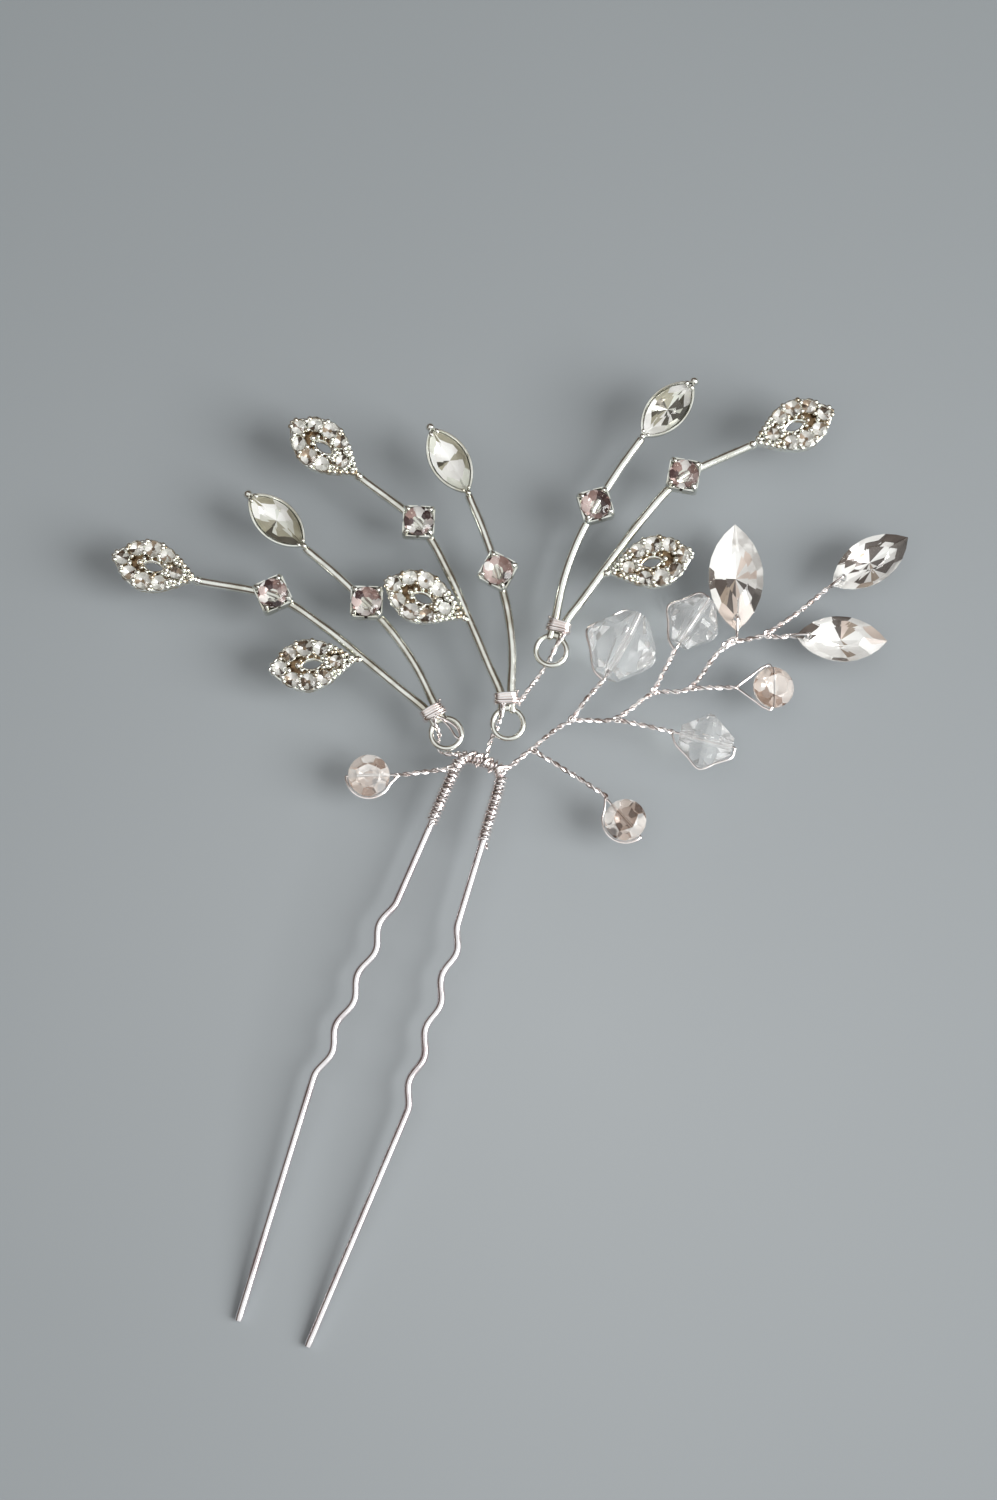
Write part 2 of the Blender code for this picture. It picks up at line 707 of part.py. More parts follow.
def drop(length, width):
    """A large pointed stone, drilled through its face near the inner point."""
    depth = DROP_HALF_DEPTH
    outline = pointed_oval(length, width)
    stone = stack(outline, ((0.3, -depth), (1.0, -0.2), (1.0, 0.2), (0.55, depth)))
    drill = moved(cylinder(DROP_HOLE_R, -depth - 1, depth + 1, 8), (0.0, DROP_HOLE_IN - length / 2, 0.0))
    return combined(stone, cut=[drill])


def drop_stem(name, root, centre, turn, length):
    """A twist whose last loop goes up through the drop's hole and back over its point."""
    way = Matrix.Rotation(turn, 3, "Z") @ Vector((0.0, 1.0, 0.0))
    tip = centre - way * (length / 2)
    hole = tip + way * DROP_HOLE_IN
    over = Vector((0.0, 0.0, DROP_LOOP_Z))
    twist = [stem_start(root, tip), tip - way * 0.9]
    path = twist + [tip - way * 0.5 - over * 0.4, hole - over, hole + over, tip + over * 0.75]
    path.append(tip - way * 0.55 + over * 0.45)
    thin = BIND_R / TWIST_R
    widths = [1.0, 1.0] + [thin] * (len(path) - 2)
    piece(name, wire(path, TWIST_R, 6, widths), BINDING_SILVER)


def add_bead(name, mesh, centre, way):
    """A bead that turns on its wire: its origin and its Y axis are its hole's."""
    bead = piece(name, mesh, CLEAR_GLASS)
    bead.location = centre * MM
    bead.rotation_euler = way.to_track_quat("Y", "Z").to_euler()


def add_spray():
    joints = [level(p) for p in TRUNK]
    piece("spray_trunk", wire(smooth([tuple(j) for j in joints], 2), TWIST_R, 6), BINDING_SILVER)
    large, small, stone = bicone(BICONE_LARGE_R), bicone(BICONE_SMALL_R), round_bead()
    large_end, large_at = level((9.3, 12.4), LARGE_STEM_Z), level((9.9, 17.4), LARGE_BICONE_Z)
    beads = (
        ("large_bicone", large, joints[2], large_end, large_at, BICONE_LARGE_R, 1),
        ("outer_bicone", small, joints[3], level((17.9, 10.1)), level((22.0, 10.5)), BICONE_SMALL_R, -1),
        ("upper_bicone", small, joints[4], level((15.5, 18.9)), level((16.35, 22.55)), BICONE_SMALL_R, 1),
        ("lower_round", stone, joints[1], level((13.6, 0.9)), level((16.7, -0.8)), ROUND_R, -1),
        ("left_round", stone, level((-2.75, -1.8)), level((-8.3, -4.6)), level((-11.1, -5.7)), ROUND_R, 1),
    )
    for name, mesh, root, end, centre, bead_r, side in beads:
        way = threaded_stem(name + "_stem", root, end, centre, bead_r, side)
        add_bead(name, mesh, centre, way)
    centre = level((27.0, 18.6))
    way = forked_stem("outer_round_stem", joints[5], level((23.4, 17.3)), centre, ROUND_R)
    add_bead("outer_round", stone, centre, way)
    drops = (
        ("large_drop", DROP_LARGE, joints[6], (19.1, 28.9), 20.0),
        ("upper_drop", DROP_SMALL, joints[7], (32.4, 35.7), -37.2),
        ("outer_drop", DROP_SMALL, joints[7], (32.2, 26.3), -73.4),
    )
    for name, size, root, spot, degrees in drops:
        turn = math.radians(degrees)
        centre = level(spot)
        piece(name, drop(*size), FOILED_CRYSTAL, None, tuple(centre), turn)
        drop_stem(name + "_stem", root, centre, turn, size[0])


clear_scene()
set_collections()
add_pin()
add_sprigs()
add_spray()
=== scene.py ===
"""A bridal hair pin: a crinkled wire pin whose bound bridge carries three cast sprigs of set
crystals and a hand-twisted spray of wire with glass double cones, round stones and drops.

Shapes are worked out in millimetres and turned into metres where each piece is made. Hinges, bead
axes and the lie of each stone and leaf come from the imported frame. Wires run from the bridge.
"""

import json
import math
import random

import bmesh
import bpy
import numpy as np
from mathutils import Matrix, Vector


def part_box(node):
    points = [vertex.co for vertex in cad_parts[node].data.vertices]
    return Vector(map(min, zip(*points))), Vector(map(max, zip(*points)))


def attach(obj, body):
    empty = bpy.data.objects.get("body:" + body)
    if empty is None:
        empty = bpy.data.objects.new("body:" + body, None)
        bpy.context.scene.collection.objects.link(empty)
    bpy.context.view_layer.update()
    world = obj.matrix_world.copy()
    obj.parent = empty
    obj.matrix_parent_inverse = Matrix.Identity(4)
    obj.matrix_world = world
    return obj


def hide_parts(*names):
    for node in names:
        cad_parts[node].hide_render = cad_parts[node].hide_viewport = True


MM = 0.001
PI = math.pi
UP = np.array((0.0, 0.0, 1.0))

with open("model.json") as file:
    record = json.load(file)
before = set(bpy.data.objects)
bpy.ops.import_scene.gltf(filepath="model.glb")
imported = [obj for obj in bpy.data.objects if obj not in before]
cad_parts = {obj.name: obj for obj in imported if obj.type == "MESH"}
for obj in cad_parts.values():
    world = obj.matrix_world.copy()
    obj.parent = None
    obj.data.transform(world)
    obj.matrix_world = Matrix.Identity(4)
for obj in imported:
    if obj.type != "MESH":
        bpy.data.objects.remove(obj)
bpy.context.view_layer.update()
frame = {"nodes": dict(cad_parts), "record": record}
joints = {joint["name"]: joint for joint in frame["record"]["behaviour"]["joints"]}
rng = random.Random(11)

# ---- Sizes, in millimetres ----

PIN_WIRE_R = 0.42
BRIDGE_HALF = 2.5
BRIDGE_Z = 4.0
BRIDGE_BEND_R = 1.2
LEG_LENGTH = 64.8
STRAIGHT_TO = 17.5
SHOULDER_HALF = 3.5
CRINKLES = 3.5
CRINKLE_PITCH = 5.87
CRINKLE_DEPTH = 0.4
CRINKLE_SPREAD = 1.05
TIP_HALF = 3.92
LEG_FROM = 2.4  # how far below the bridge a leg starts, past the bend
LEG_WRAP_TO = 8.2
LEG_WRAP_SLACK = 0.04
LEG_WRAP_PITCH = 0.43

STRAND_R = 0.15
BINDING_R = 0.165
TWIST_PITCH = 2.1
RING_R = 1.675
RING_WIRE_R = 0.325
ROD_R = 0.5
NAVETTE_ROD = ((0.6, 1.7), (0.6, 3.5), (1.0, 8.0), (0.8, 12.5), (0.0, 16.9), (-1.2, 21.6), (-2.55, 25.7))
LEAF_ROD = (
    *((-0.6, 1.7), (-0.6, 3.5), (-1.7, 6.7), (-3.4, 11.7)),
    *((-5.4, 17.3), (-8.3, 23.0), (-14.57, 28.8)),
)
CUP_HALF = 1.78
CUP_WALL = 0.13
CUP_SLIT = 0.17
CHATON_R = 1.62
CHATON_SEAT = 1.3
NAVETTE = (7.7, 3.7)
NAVETTE_CUP_LOW = -0.2
NAVETTE_SEAT = 0.75
LEAF = (9.8, 5.8)
LEAF_EYE = (2.4, 1.1)
LEAF_EYE_Y = 0.1
LEAF_RIM_TOP = 0.62
LEAF_LOW = -0.6
SMALL_STONE_SEAT = 0.84
# Stones that lie next to each other on a leaf, by their places in leaf_stones().
NEIGHBOURS = ((2, 1), (3, 1), (2, 4), (3, 5), (4, 6), (5, 7), (6, 0), (7, 0))

SPRAY_Z = 4.3
TRUNK = (
    *((3.0, 0.5), (4.5, 3.1), (7.4, 7.4), (11.8, 9.3)),
    *((14.8, 13.4), (18.4, 15.4), (20.4, 20.9), (24.2, 23.8)),
)
BICONE_LARGE_R = 4.0
BICONE_SMALL_R = 3.0
BICONE_END = 0.35
BICONE_HALF_LENGTH = 0.98
BICONE_BELT = 0.5
ROUND_R = 2.25
HOLE_R = 0.42
STONE_HOLE_R = 0.2
# Where a pointed stone's long back facets end: how far out, and how far down.
KNEE_IN = 0.6
KNEE_DEPTH = 0.66
DROP_LARGE = (12.0, 6.0)
DROP_SMALL = (10.0, 5.0)
DROP_HOLE_IN = 1.3
DROP_HOLE_R = 0.38
DROP_LOW = -1.8
WIRE_GAP = 0.1  # between a wire and the stone or bead that it passes

PITCHES = {"left": 0.4, "middle": 1.5, "right": 1.5}
SIDES = {"left": 1, "middle": 1, "right": -1}

# Edges sharper than this, in degrees, stay hard: all of them on cut stones, few on wire.
FACETED = 1.0
SOFT = 35.0

fork_low, fork_high = (np.array(corner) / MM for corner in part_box("pin_fork"))
BRIDGE = np.array(((fork_low[0] + fork_high[0]) / 2, fork_high[1] - PIN_WIRE_R, 0.0))


# ---- Forms: points and faces ----


def joined(*forms):
    points, faces, base = [], [], 0
    for more, sides in forms:
        points.append(np.asarray(more, float))
        faces += [[index + base for index in side] for side in sides]
        base += len(more)
    return np.vstack(points), faces


def placed(form, matrix):
    turned = np.asarray(form[0]) @ np.array(matrix.to_3x3()).T
    return turned + np.array(matrix.translation), form[1]


def shifted(form, offset):
    return np.asarray(form[0]) + np.asarray(offset, float), form[1]


def flat(outline):
    return np.array([(x, y, 0.0) for x, y in outline])


def circle(count, radius=1.0):
    turn = np.arange(count) * 2 * PI / count
    return np.column_stack((np.cos(turn), np.sin(turn), np.zeros(count))) * radius


def inward(edge):
    """The way in from each point of a closed flat edge, at right angles to it."""
    ahead = np.roll(edge, -1, 0) - np.roll(edge, 1, 0)
    return np.cross(UP, ahead / np.linalg.norm(ahead, axis=1)[:, None])


def smooth(points, steps=8):
    """A Catmull-Rom curve through points."""
    path = np.array([tuple(p) + (0.0,) * (3 - len(p)) for p in points], float)
    ends = np.vstack((2 * path[0] - path[1], path, 2 * path[-1] - path[-2]))
    made = [path[0]]
    for a, b, c, d in zip(ends, ends[1:], ends[2:], ends[3:]):
        for step in range(1, steps + 1):
            t = step / steps
            square, cube = 2 * a - 5 * b + 4 * c - d, 3 * b - a - 3 * c + d
            made.append(0.5 * (2 * b + (c - a) * t + square * t**2 + cube * t**3))
    return np.array(made)


def spaced(path, step):
    """The same path with even spacing, and how far along it each point is."""
    path = np.asarray(path, float)
    along = np.concatenate(([0.0], np.cumsum(np.linalg.norm(np.diff(path, axis=0), axis=1))))
    marks = np.linspace(0.0, along[-1], max(3, round(along[-1] / step) + 1))
    return np.column_stack([np.interp(marks, along, path[:, k]) for k in range(3)]), marks


def carried(path, closed=False):
    """Tangents, normals and binormals, carried along a path without twisting."""
    ahead = np.roll(path, -1, 0) - np.roll(path, 1, 0) if closed else np.gradient(path, axis=0)
    tangents = ahead / np.linalg.norm(ahead, axis=1)[:, None]
    normal = np.cross(tangents[0], UP)
    if np.linalg.norm(normal) < 0.1:
        normal = np.cross(tangents[0], (0.0, 1.0, 0.0))
    normals = []
    for tangent in tangents:
        normal = normal - tangent * normal.dot(tangent)
        normal = normal / np.linalg.norm(normal)
        normals.append(normal)
    normals = np.array(normals)
    return tangents, normals, np.cross(tangents, normals)


def skin(rings, closed=False):
    """A surface over rings of points, capped at both ends unless it closes on itself."""
    sides = len(rings[0])
    count = len(rings)
    faces = []
    for low in range(count if closed else count - 1):
        high = (low + 1) % count
        for k in range(sides):
            n = (k + 1) % sides
            faces.append([low * sides + k, low * sides + n, high * sides + n, high * sides + k])
    if not closed:
        faces.append(list(range(sides))[::-1])
        faces.append(list(range((count - 1) * sides, count * sides)))
    return np.vstack(rings), faces


def sweep(path, radius, sides=10, closed=False, rounded=True):
    """A round wire along a path. radius may change from point to point."""
    path = np.asarray(path, float)
    radii = np.full(len(path), float(radius)) if np.isscalar(radius) else np.asarray(radius, float)
    tangents, normals, across = carried(path, closed)
    turn = np.arange(sides) * 2 * PI / sides

    def ring(index, out=0.0, shrink=1.0):
        centre = path[index] + tangents[index] * out
        spokes = np.cos(turn)[:, None] * normals[index] + np.sin(turn)[:, None] * across[index]
        return centre + radii[index] * shrink * spokes

    rings = [ring(index) for index in range(len(path))]
    if rounded and not closed:
        bends = [math.radians(angle) for angle in (25, 50, 75)]
        rings = [ring(0, -radii[0] * math.sin(b), math.cos(b)) for b in bends[::-1]] + rings
        rings += [ring(-1, radii[-1] * math.sin(b), math.cos(b)) for b in bends]
    return skin(rings, closed)


def wound(path, radius, pitch, phase=0.0, per_turn=14, wander=0.0):
    """A helix round a path. wander shakes its radius and its pitch a little."""
    points, marks = spaced(path, pitch / per_turn)
    _, normals, across = carried(points)
    shake = [rng.uniform(-1, 1) for _ in range(len(marks) // per_turn + 3)]
    slow = np.interp(marks / pitch, range(len(shake)), shake)
    angle = (phase + 2 * PI * marks / pitch + wander * 1.6 * slow)[:, None]
    reach = (radius * (1 + wander * 0.5 * slow))[:, None]
    return points + reach * (np.cos(angle) * normals + np.sin(angle) * across)


def twisted(path, phase=0.0, pitch=TWIST_PITCH):
    """Two strands wound round each other along a path."""
    strands = [wound(path, STRAND_R * 1.02, pitch, phase + turn, 14, 0.06) for turn in (0.0, PI)]
    return joined(*(sweep(strand, STRAND_R, 8) for strand in strands))


def ellipsoid(centre, radii, segments=12, rows=8):
    """A ball or an egg. radii is one number, or one along each axis."""
    rings = []
    for row in range(rows + 1):
        lift = PI * (row + 0.35) / (rows + 0.7) - PI / 2
        ring = circle(segments) * math.cos(lift) + UP * math.sin(lift)
        rings.append(ring * np.asarray(radii) + np.asarray(centre, float))
    return skin(rings)


def layered(outline, levels):
    """A loft of one flat outline through (scale, height) levels."""
    return skin([flat(outline) * (scale, scale, 0.0) + UP * height for scale, height in levels])


def inset_layers(outline, levels):
    """A loft of one outline through (inset, height) levels, drawn in at right angles to its edge."""
    edge = flat(outline)
    return skin([edge + inward(edge) * inset + UP * height for inset, height in levels])


def oval_arc(length, width):
    """The radius of each side of a lens outline, and half the angle it covers."""
    radius = (length**2 + width**2) / (4 * width)
    return radius, math.asin(length / 2 / radius)


def pointed_oval(length, width, segments=16):
    """A lens outline along Y, from two arcs that meet at a point at each end."""
    arc_r, half_angle = oval_arc(length, width)
    right = []
    for step in range(segments):
        angle = half_angle * (2 * step / segments - 1)
        right.append((arc_r * math.cos(angle) - arc_r + width / 2, arc_r * math.sin(angle)))
    return right + [(-x, -y) for x, y in right]


def leaf_half(t):
    """Half the leaf's width, at t from its slim base to its point."""
    return LEAF[1] / 2 * math.sin(PI * t**1.2) ** 0.9


def leaf_y(t):
    return (t - 0.5) * LEAF[0]


def leaf_outline(segments=26):
    right = []
    for step in range(segments + 1):
        t = 0.5 - 0.5 * math.cos(PI * step / segments)
        right.append((leaf_half(t) if 0 < step < segments else 0.0, leaf_y(t)))
    return right + [(-x, y) for x, y in right[-2:0:-1]]


def rounded_square(half, corner, per_corner=5):
    outline = []
    for quarter in range(4):
        middle = PI / 2 * quarter + PI / 4
        cx = math.copysign(half - corner, math.cos(middle))
        cy = math.copysign(half - corner, math.sin(middle))
        for step in range(per_corner + 1):
            angle = PI / 2 * (quarter + step / per_corner)
            outline.append((cx + corner * math.cos(angle), cy + corner * math.sin(angle)))
    return outline


# ---- Cut stones ----


def rise(height):
    return Vector((0.0, 0.0, height))


def form_of(work):
    """The points and faces of a working mesh, which is freed."""
    work.verts.index_update()
    points = np.array([vert.co[:] for vert in work.verts])
    faces = [[vert.index for vert in face.verts] for face in work.faces]
    work.free()
    return points, faces


def cut_stone(planes, size=30.0):
    """A block cut down by planes, each a point on it and the way it faces."""
    work = bmesh.new()
    bmesh.ops.create_cube(work, size=size)
    for point, normal in planes:
        everything = work.verts[:] + work.edges[:] + work.faces[:]
        bmesh.ops.bisect_plane(
            work, geom=everything, dist=1e-5, plane_co=point, plane_no=normal, clear_outer=True
        )
        bmesh.ops.holes_fill(work, edges=[edge for edge in work.edges if edge.is_boundary])
    bmesh.ops.remove_doubles(work, verts=work.verts, dist=0.004)
    bmesh.ops.dissolve_degenerate(work, edges=work.edges, dist=0.001)
    bmesh.ops.recalc_face_normals(work, faces=work.faces)
    return form_of(work)


def rim_planes(count, offset, radius, height, slope, squash=1.0):
    """Planes round a stone, each touching a circle and leaning in at a slope. Below, slope is negative."""
    made = []
    for k in range(count):
        angle = 2 * PI * (k + offset) / count
        lean = math.radians(slope)
        out = Vector((math.cos(angle), math.sin(angle) * squash, 0.0))
        facing = Vector((math.cos(angle), math.sin(angle), 0.0)) * abs(math.sin(lean))
        facing.z = math.copysign(math.cos(lean), slope)
        made.append((out * radius + rise(height), facing))
    return made


def brilliant(radius, table=0.56, crown=33.0, belt=0.04, back=40.0):
    """A round brilliant, its girdle at height 0 and its table up."""
    top = radius * (belt + (1 - table) * math.tan(math.radians(crown)))
    planes = rim_planes(24, 0.5, radius, 0.0, 90.0)
    planes += rim_planes(8, 0.0, radius, belt * radius, crown)
    planes += rim_planes(16, 0.5, radius, belt * radius, crown + 8)
    planes += rim_planes(8, 0.5, radius * table * math.cos(PI / 8), top, crown - 14)
    planes.append((rise(top), rise(1.0)))
    planes += rim_planes(8, 0.0, radius, -belt * radius, -back)
    planes += rim_planes(16, 0.5, radius, -belt * radius, -back - 4)
    return cut_stone(planes)


def oval_tangents(length, width, places):
    """Points on a lens outline, each with the way it faces, at places from -1 to 1 on each side."""
    arc_r, half_angle = oval_arc(length, width)
    made = []
    for side in (1, -1):
        for place in places:
            angle = half_angle * place
            out = Vector((side * math.cos(angle), side * math.sin(angle), 0.0))
            x = side * (arc_r * math.cos(angle) - arc_r + width / 2)
            made.append((Vector((x, side * arc_r * math.sin(angle), 0.0)), out))
    return made


def pointed_stone(length, width, belt, top, depth, table, mains, stars, backs):
    """A pointed oval stone. Below its belt a row of long facets leads to a star round its lowest point."""
    steps = 9
    planes = oval_tangents(length, width, [(2 * k + 1) / steps - 1 for k in range(steps)])
    knee = -depth * KNEE_DEPTH
    crown = ((mains, 1.0, belt, table), (stars, 0.8, belt + (top - belt) * 0.55, table * 0.94))
    rows = [(places, near, low, far, top) for places, near, low, far in crown]
    rows += [(mains, 1.0, -belt, KNEE_IN, knee), (backs, KNEE_IN, knee, 0.0, -depth)]
    for places, near, start_z, far, end_z in rows:
        for point, out in oval_tangents(length, width, places):
            start = point * near + rise(start_z)
            end = point * far + rise(end_z)
            planes.append((start, Vector((-out.y, out.x, 0.0)).cross(end - start)))
    planes.append((rise(top), rise(1.0)))
    facing = []
    for point, normal in planes:
        outward = point if abs(normal.z) < 0.99 * normal.length else rise(point.z)
        facing.append((point, normal if normal.dot(outward) > 0 else -normal))
    return cut_stone(facing)


# ---- Materials ----


WHITE = (0.98, 0.98, 0.97)
STONE_GRAIN = 900.0
POLISH_GRAIN = 0.00002


def new_material(name):
    made = bpy.data.materials.new(name)
    made.use_nodes = True
    tree = made.node_tree
    return made, tree, tree.nodes["Principled BSDF"]


def added(tree, kind, values=(), **settings):
    """A new shader node, with some of its settings and inputs given."""
    node = tree.nodes.new("ShaderNode" + kind)
    for setting, value in settings.items():
        setattr(node, setting, value)
    for socket, value in dict(values).items():
        node.inputs[socket].default_value = value
    return node


def noise_of(tree, scale, detail=3.0, seed=0.0):
    values = {"Scale": scale, "Detail": detail, "W": seed}
    noise = added(tree, "TexNoise", values, noise_dimensions="4D")
    tree.links.new(added(tree, "TexCoord").outputs["Object"], noise.inputs["Vector"])
    return noise.outputs["Fac"]


def ramp_of(tree, factor, stops, steps=False):
    """A colour ramp. Each stop is a place and a colour, and steps keeps each colour up to the next stop."""
    ramp = added(tree, "ValToRGB")
    marks = ramp.color_ramp.elements
    while len(marks) < len(stops):
        marks.new(0.5)
    for mark, (place, colour) in zip(marks, stops):
        mark.position = place
        mark.color = (*colour, 1.0)
    if steps:
        ramp.color_ramp.interpolation = "CONSTANT"
    tree.links.new(factor, ramp.inputs["Fac"])
    return ramp.outputs["Color"]


def span_of(tree, factor, low, high):
    """A value that runs from low to high as a factor goes from 0.3 to 0.7."""
    span = added(tree, "MapRange", {"From Min": 0.3, "From Max": 0.7, "To Min": low, "To Max": high})
    tree.links.new(factor, span.inputs["Value"])
    return span.outputs["Result"]


def bump_on(tree, shader, height, strength, distance):
    bump = added(tree, "Bump", {"Strength": strength, "Distance": distance})
    tree.links.new(height, bump.inputs["Height"])
    tree.links.new(bump.outputs["Normal"], shader.inputs["Normal"])


def polish_on(tree, shader, scale, seed, low, high):
    """A roughness that drifts between two values."""
    tree.links.new(span_of(tree, noise_of(tree, scale, 2.0, seed), low, high), shader.inputs["Roughness"])


def metal(name, stops, rough, patch, grain, strength):
    """Plated metal: its tone and its polish drift from patch to patch, over a fine grain."""
    made, tree, shader = new_material(name)
    shader.inputs["Metallic"].default_value = 1.0
    tree.links.new(ramp_of(tree, noise_of(tree, patch), stops), shader.inputs["Base Color"])
    polish_on(tree, shader, patch * 1.7, 4.0, *rough)
    bump_on(tree, shader, noise_of(tree, grain, 3.0, 2.0), strength, POLISH_GRAIN)
    return made


def glass(name, colour, ior=1.54, haze=0.0, rough=0.0):
    """Clear cut glass, milky by its haze. Rays from lamps pass it, so that what is behind stays lit."""
    made, tree, shader = new_material(name)
    shader.inputs["IOR"].default_value = ior
    shader.inputs["Transmission Weight"].default_value = 1.0 - haze
    deeper = tuple(part * 0.93 for part in colour)
    tint = ramp_of(tree, noise_of(tree, 160.0, 2.0), ((0.35, deeper), (0.65, colour)))
    tree.links.new(tint, shader.inputs["Base Color"])
    polish_on(tree, shader, STONE_GRAIN, 3.0, rough, rough + 0.012)
    through = added(tree, "BsdfTransparent", {"Color": (0.86, 0.86, 0.85, 1.0)})
    path = added(tree, "LightPath")
    mix = added(tree, "MixShader")
    tree.links.new(path.outputs["Is Shadow Ray"], mix.inputs["Fac"])
    tree.links.new(shader.outputs["BSDF"], mix.inputs[1])
    tree.links.new(through.outputs["BSDF"], mix.inputs[2])
    tree.links.new(mix.outputs["Shader"], tree.nodes["Material Output"].inputs["Surface"])
    return made


def facet_glint(tree, weights):
    """A value from 0 to 1 that jumps from facet to facet, set by the way each facet faces. It picks how dark
    or white that facet's painted reflection is.
    """
    surface = added(tree, "NewGeometry")
    mix = added(tree, "VectorMath", {1: weights}, operation="DOT_PRODUCT")
    rest = added(tree, "Math", operation="FRACT")
    tree.links.new(surface.outputs["True Normal"], mix.inputs[0])
    tree.links.new(mix.outputs["Value"], rest.inputs[0])
    return rest.outputs["Value"]


def foil(name, stops, weights, metallic=0.35, rough=(0.06, 0.16)):
    """Bright foil behind a stone, in its own hue, with a painted reflection on each facet that runs from dark
    to white.
    """
    made, tree, shader = new_material(name)
    shader.inputs["Metallic"].default_value = metallic
    # Base colour: the foil's own hue, painted dark to white facet by facet as reflections.
    tree.links.new(ramp_of(tree, facet_glint(tree, weights), stops, True), shader.inputs["Base Color"])
    polish_on(tree, shader, STONE_GRAIN, 5.0, *rough)
    return made


def cloudy_crown(name, stops, weights, haze):
    """The upper side of a cut bead that is not foiled: half clear, with a painted reflection on each facet
    that runs from dark to white.
    """
    made = glass(name, WHITE, 1.5, haze)
    tree = made.node_tree
    # Painted reflections: each facet dark, grey or white by the way it faces.
    tone = ramp_of(tree, facet_glint(tree, weights), stops, True)
    tree.links.new(tone, tree.nodes["Principled BSDF"].inputs["Base Color"])
    return made


PIN_SILVER = metal(
    "pin_silver", ((0.3, (0.66, 0.57, 0.58)), (0.55, (0.91, 0.87, 0.88))), (0.14, 0.24), 260.0, 5200.0, 0.25
)
CAST_SILVER = metal(
    "cast_silver", ((0.3, (0.62, 0.60, 0.51)), (0.55, (0.90, 0.91, 0.85))), (0.12, 0.26), 420.0, 2600.0, 0.4
)
LEAF_SILVER = metal(
    "leaf_silver", ((0.38, (0.60, 0.52, 0.40)), (0.50, (0.96, 0.97, 0.91))), (0.10, 0.22), 900.0, 3000.0, 0.4
)
BINDING_WIRE = metal(
    "binding_wire", ((0.3, (0.86, 0.77, 0.74)), (0.55, (0.99, 0.945, 0.93))), (0.12, 0.22), 500.0, 5200.0, 0.2
)
CLEAR_GLASS = glass("clear_glass", (0.985, 0.99, 0.99), 1.45, 0.14)
CROWN_GLASS = glass("crown_glass", (0.99, 0.985, 0.975), 1.56)
# The ramps of the foils and of the bead crown run from near black to white: each stone's own hue, with
# painted reflections picked facet by facet.
SILVER_FOIL = foil(
    "silver_foil",
    ((0.0, (0.10, 0.09, 0.07)), (0.2, (0.42, 0.40, 0.31)), (0.42, (0.78, 0.80, 0.74)), (0.68, WHITE)),
    (15.3, 18.1, 7.7),
)
ROSE_FOIL = foil(
    "rose_foil",
    ((0.0, (0.07, 0.04, 0.04)), (0.26, (0.34, 0.23, 0.21)), (0.5, (0.68, 0.56, 0.54)), (0.74, WHITE)),
    (17.3, 16.1, 8.7),
)
# The drops' champagne hue, with painted reflections from near black to white.
CHAMPAGNE_AND_GLINTS = ((0.0, (0.13, 0.11, 0.10)), (0.13, (0.44, 0.36, 0.29)), (0.28, (0.84, 0.72, 0.65)), (0.46, WHITE))
DROPS = (("large", (16.2, 14.9, 8.1)), ("upper", (13.1, 17.3, 7.9)), ("outer", (18.7, 12.3, 9.1)))
DROP_FOILS = {name + "_drop": foil(name + "_drop_foil", CHAMPAGNE_AND_GLINTS, weights) for name, weights in DROPS}
BEAD_FOIL = foil(
    "bead_foil",
    ((0.0, (0.10, 0.07, 0.06)), (0.2, (0.50, 0.38, 0.31)), (0.36, (0.88, 0.80, 0.74)), (0.56, WHITE)),
    (14.2, 17.9, 9.1),
)
BEAD_CROWN = cloudy_crown(
    "bead_crown",
    ((0.0, (0.30, 0.22, 0.18)), (0.16, (0.62, 0.53, 0.48)), (0.34, (0.88, 0.86, 0.84)), (0.6, WHITE)),
    (11.3, 13.7, 6.8),
    0.33,
)
AMBER_FOIL = foil(
    "amber_foil",
    ((0.0, (0.09, 0.06, 0.04)), (0.17, (0.40, 0.31, 0.23)), (0.33, (0.78, 0.78, 0.75)), (0.5, WHITE)),
    (19.3, 17.9, 9.1),
)
AMBER_BED = metal(
    "amber_bed", ((0.36, (0.055, 0.032, 0.018)), (0.56, (0.26, 0.175, 0.10))), (0.2, 0.4), 1100.0, 3000.0, 0.6
)


# ---- Making pieces ----


def mesh_of(name, form, scale=1.0):
    points, faces = form
    mesh = bpy.data.meshes.new(name)
    mesh.from_pydata((np.asarray(points) * scale).tolist(), [], [list(map(int, face)) for face in faces])
    return mesh


def linked(name, data):
    obj = bpy.data.objects.new(name, data)
    bpy.context.scene.collection.objects.link(obj)
    return obj


def finished(obj):
    """A working mesh of an object with its modifiers and bevels made real. The object is removed."""
    bpy.context.view_layer.update()
    mesh = bpy.data.meshes.new_from_object(obj.evaluated_get(bpy.context.evaluated_depsgraph_get()))
    work = bmesh.new()
    work.from_mesh(mesh)
    bpy.data.objects.remove(obj)
    bpy.data.meshes.remove(mesh)
    return work


def make(name, form, looks, body, nodes=(), crease=SOFT):
    """A piece of the object, from a form in millimetres. A second look goes on faces that face down."""
    mesh = mesh_of(name, form, MM)
    mesh.update()
    looks = looks if isinstance(looks, list) else [looks]
    for look in looks:
        mesh.materials.append(look)
    if len(looks) > 1:
        for face in mesh.polygons:
            face.material_index = 1 if face.normal.z < -0.08 else 0
    mesh.shade_smooth()
    mesh.set_sharp_from_angle(angle=math.radians(crease))
    obj = linked(name, mesh)
    if nodes:
        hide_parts(*nodes)
    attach(obj, body)


def at_bridge(form):
    return shifted(form, BRIDGE)


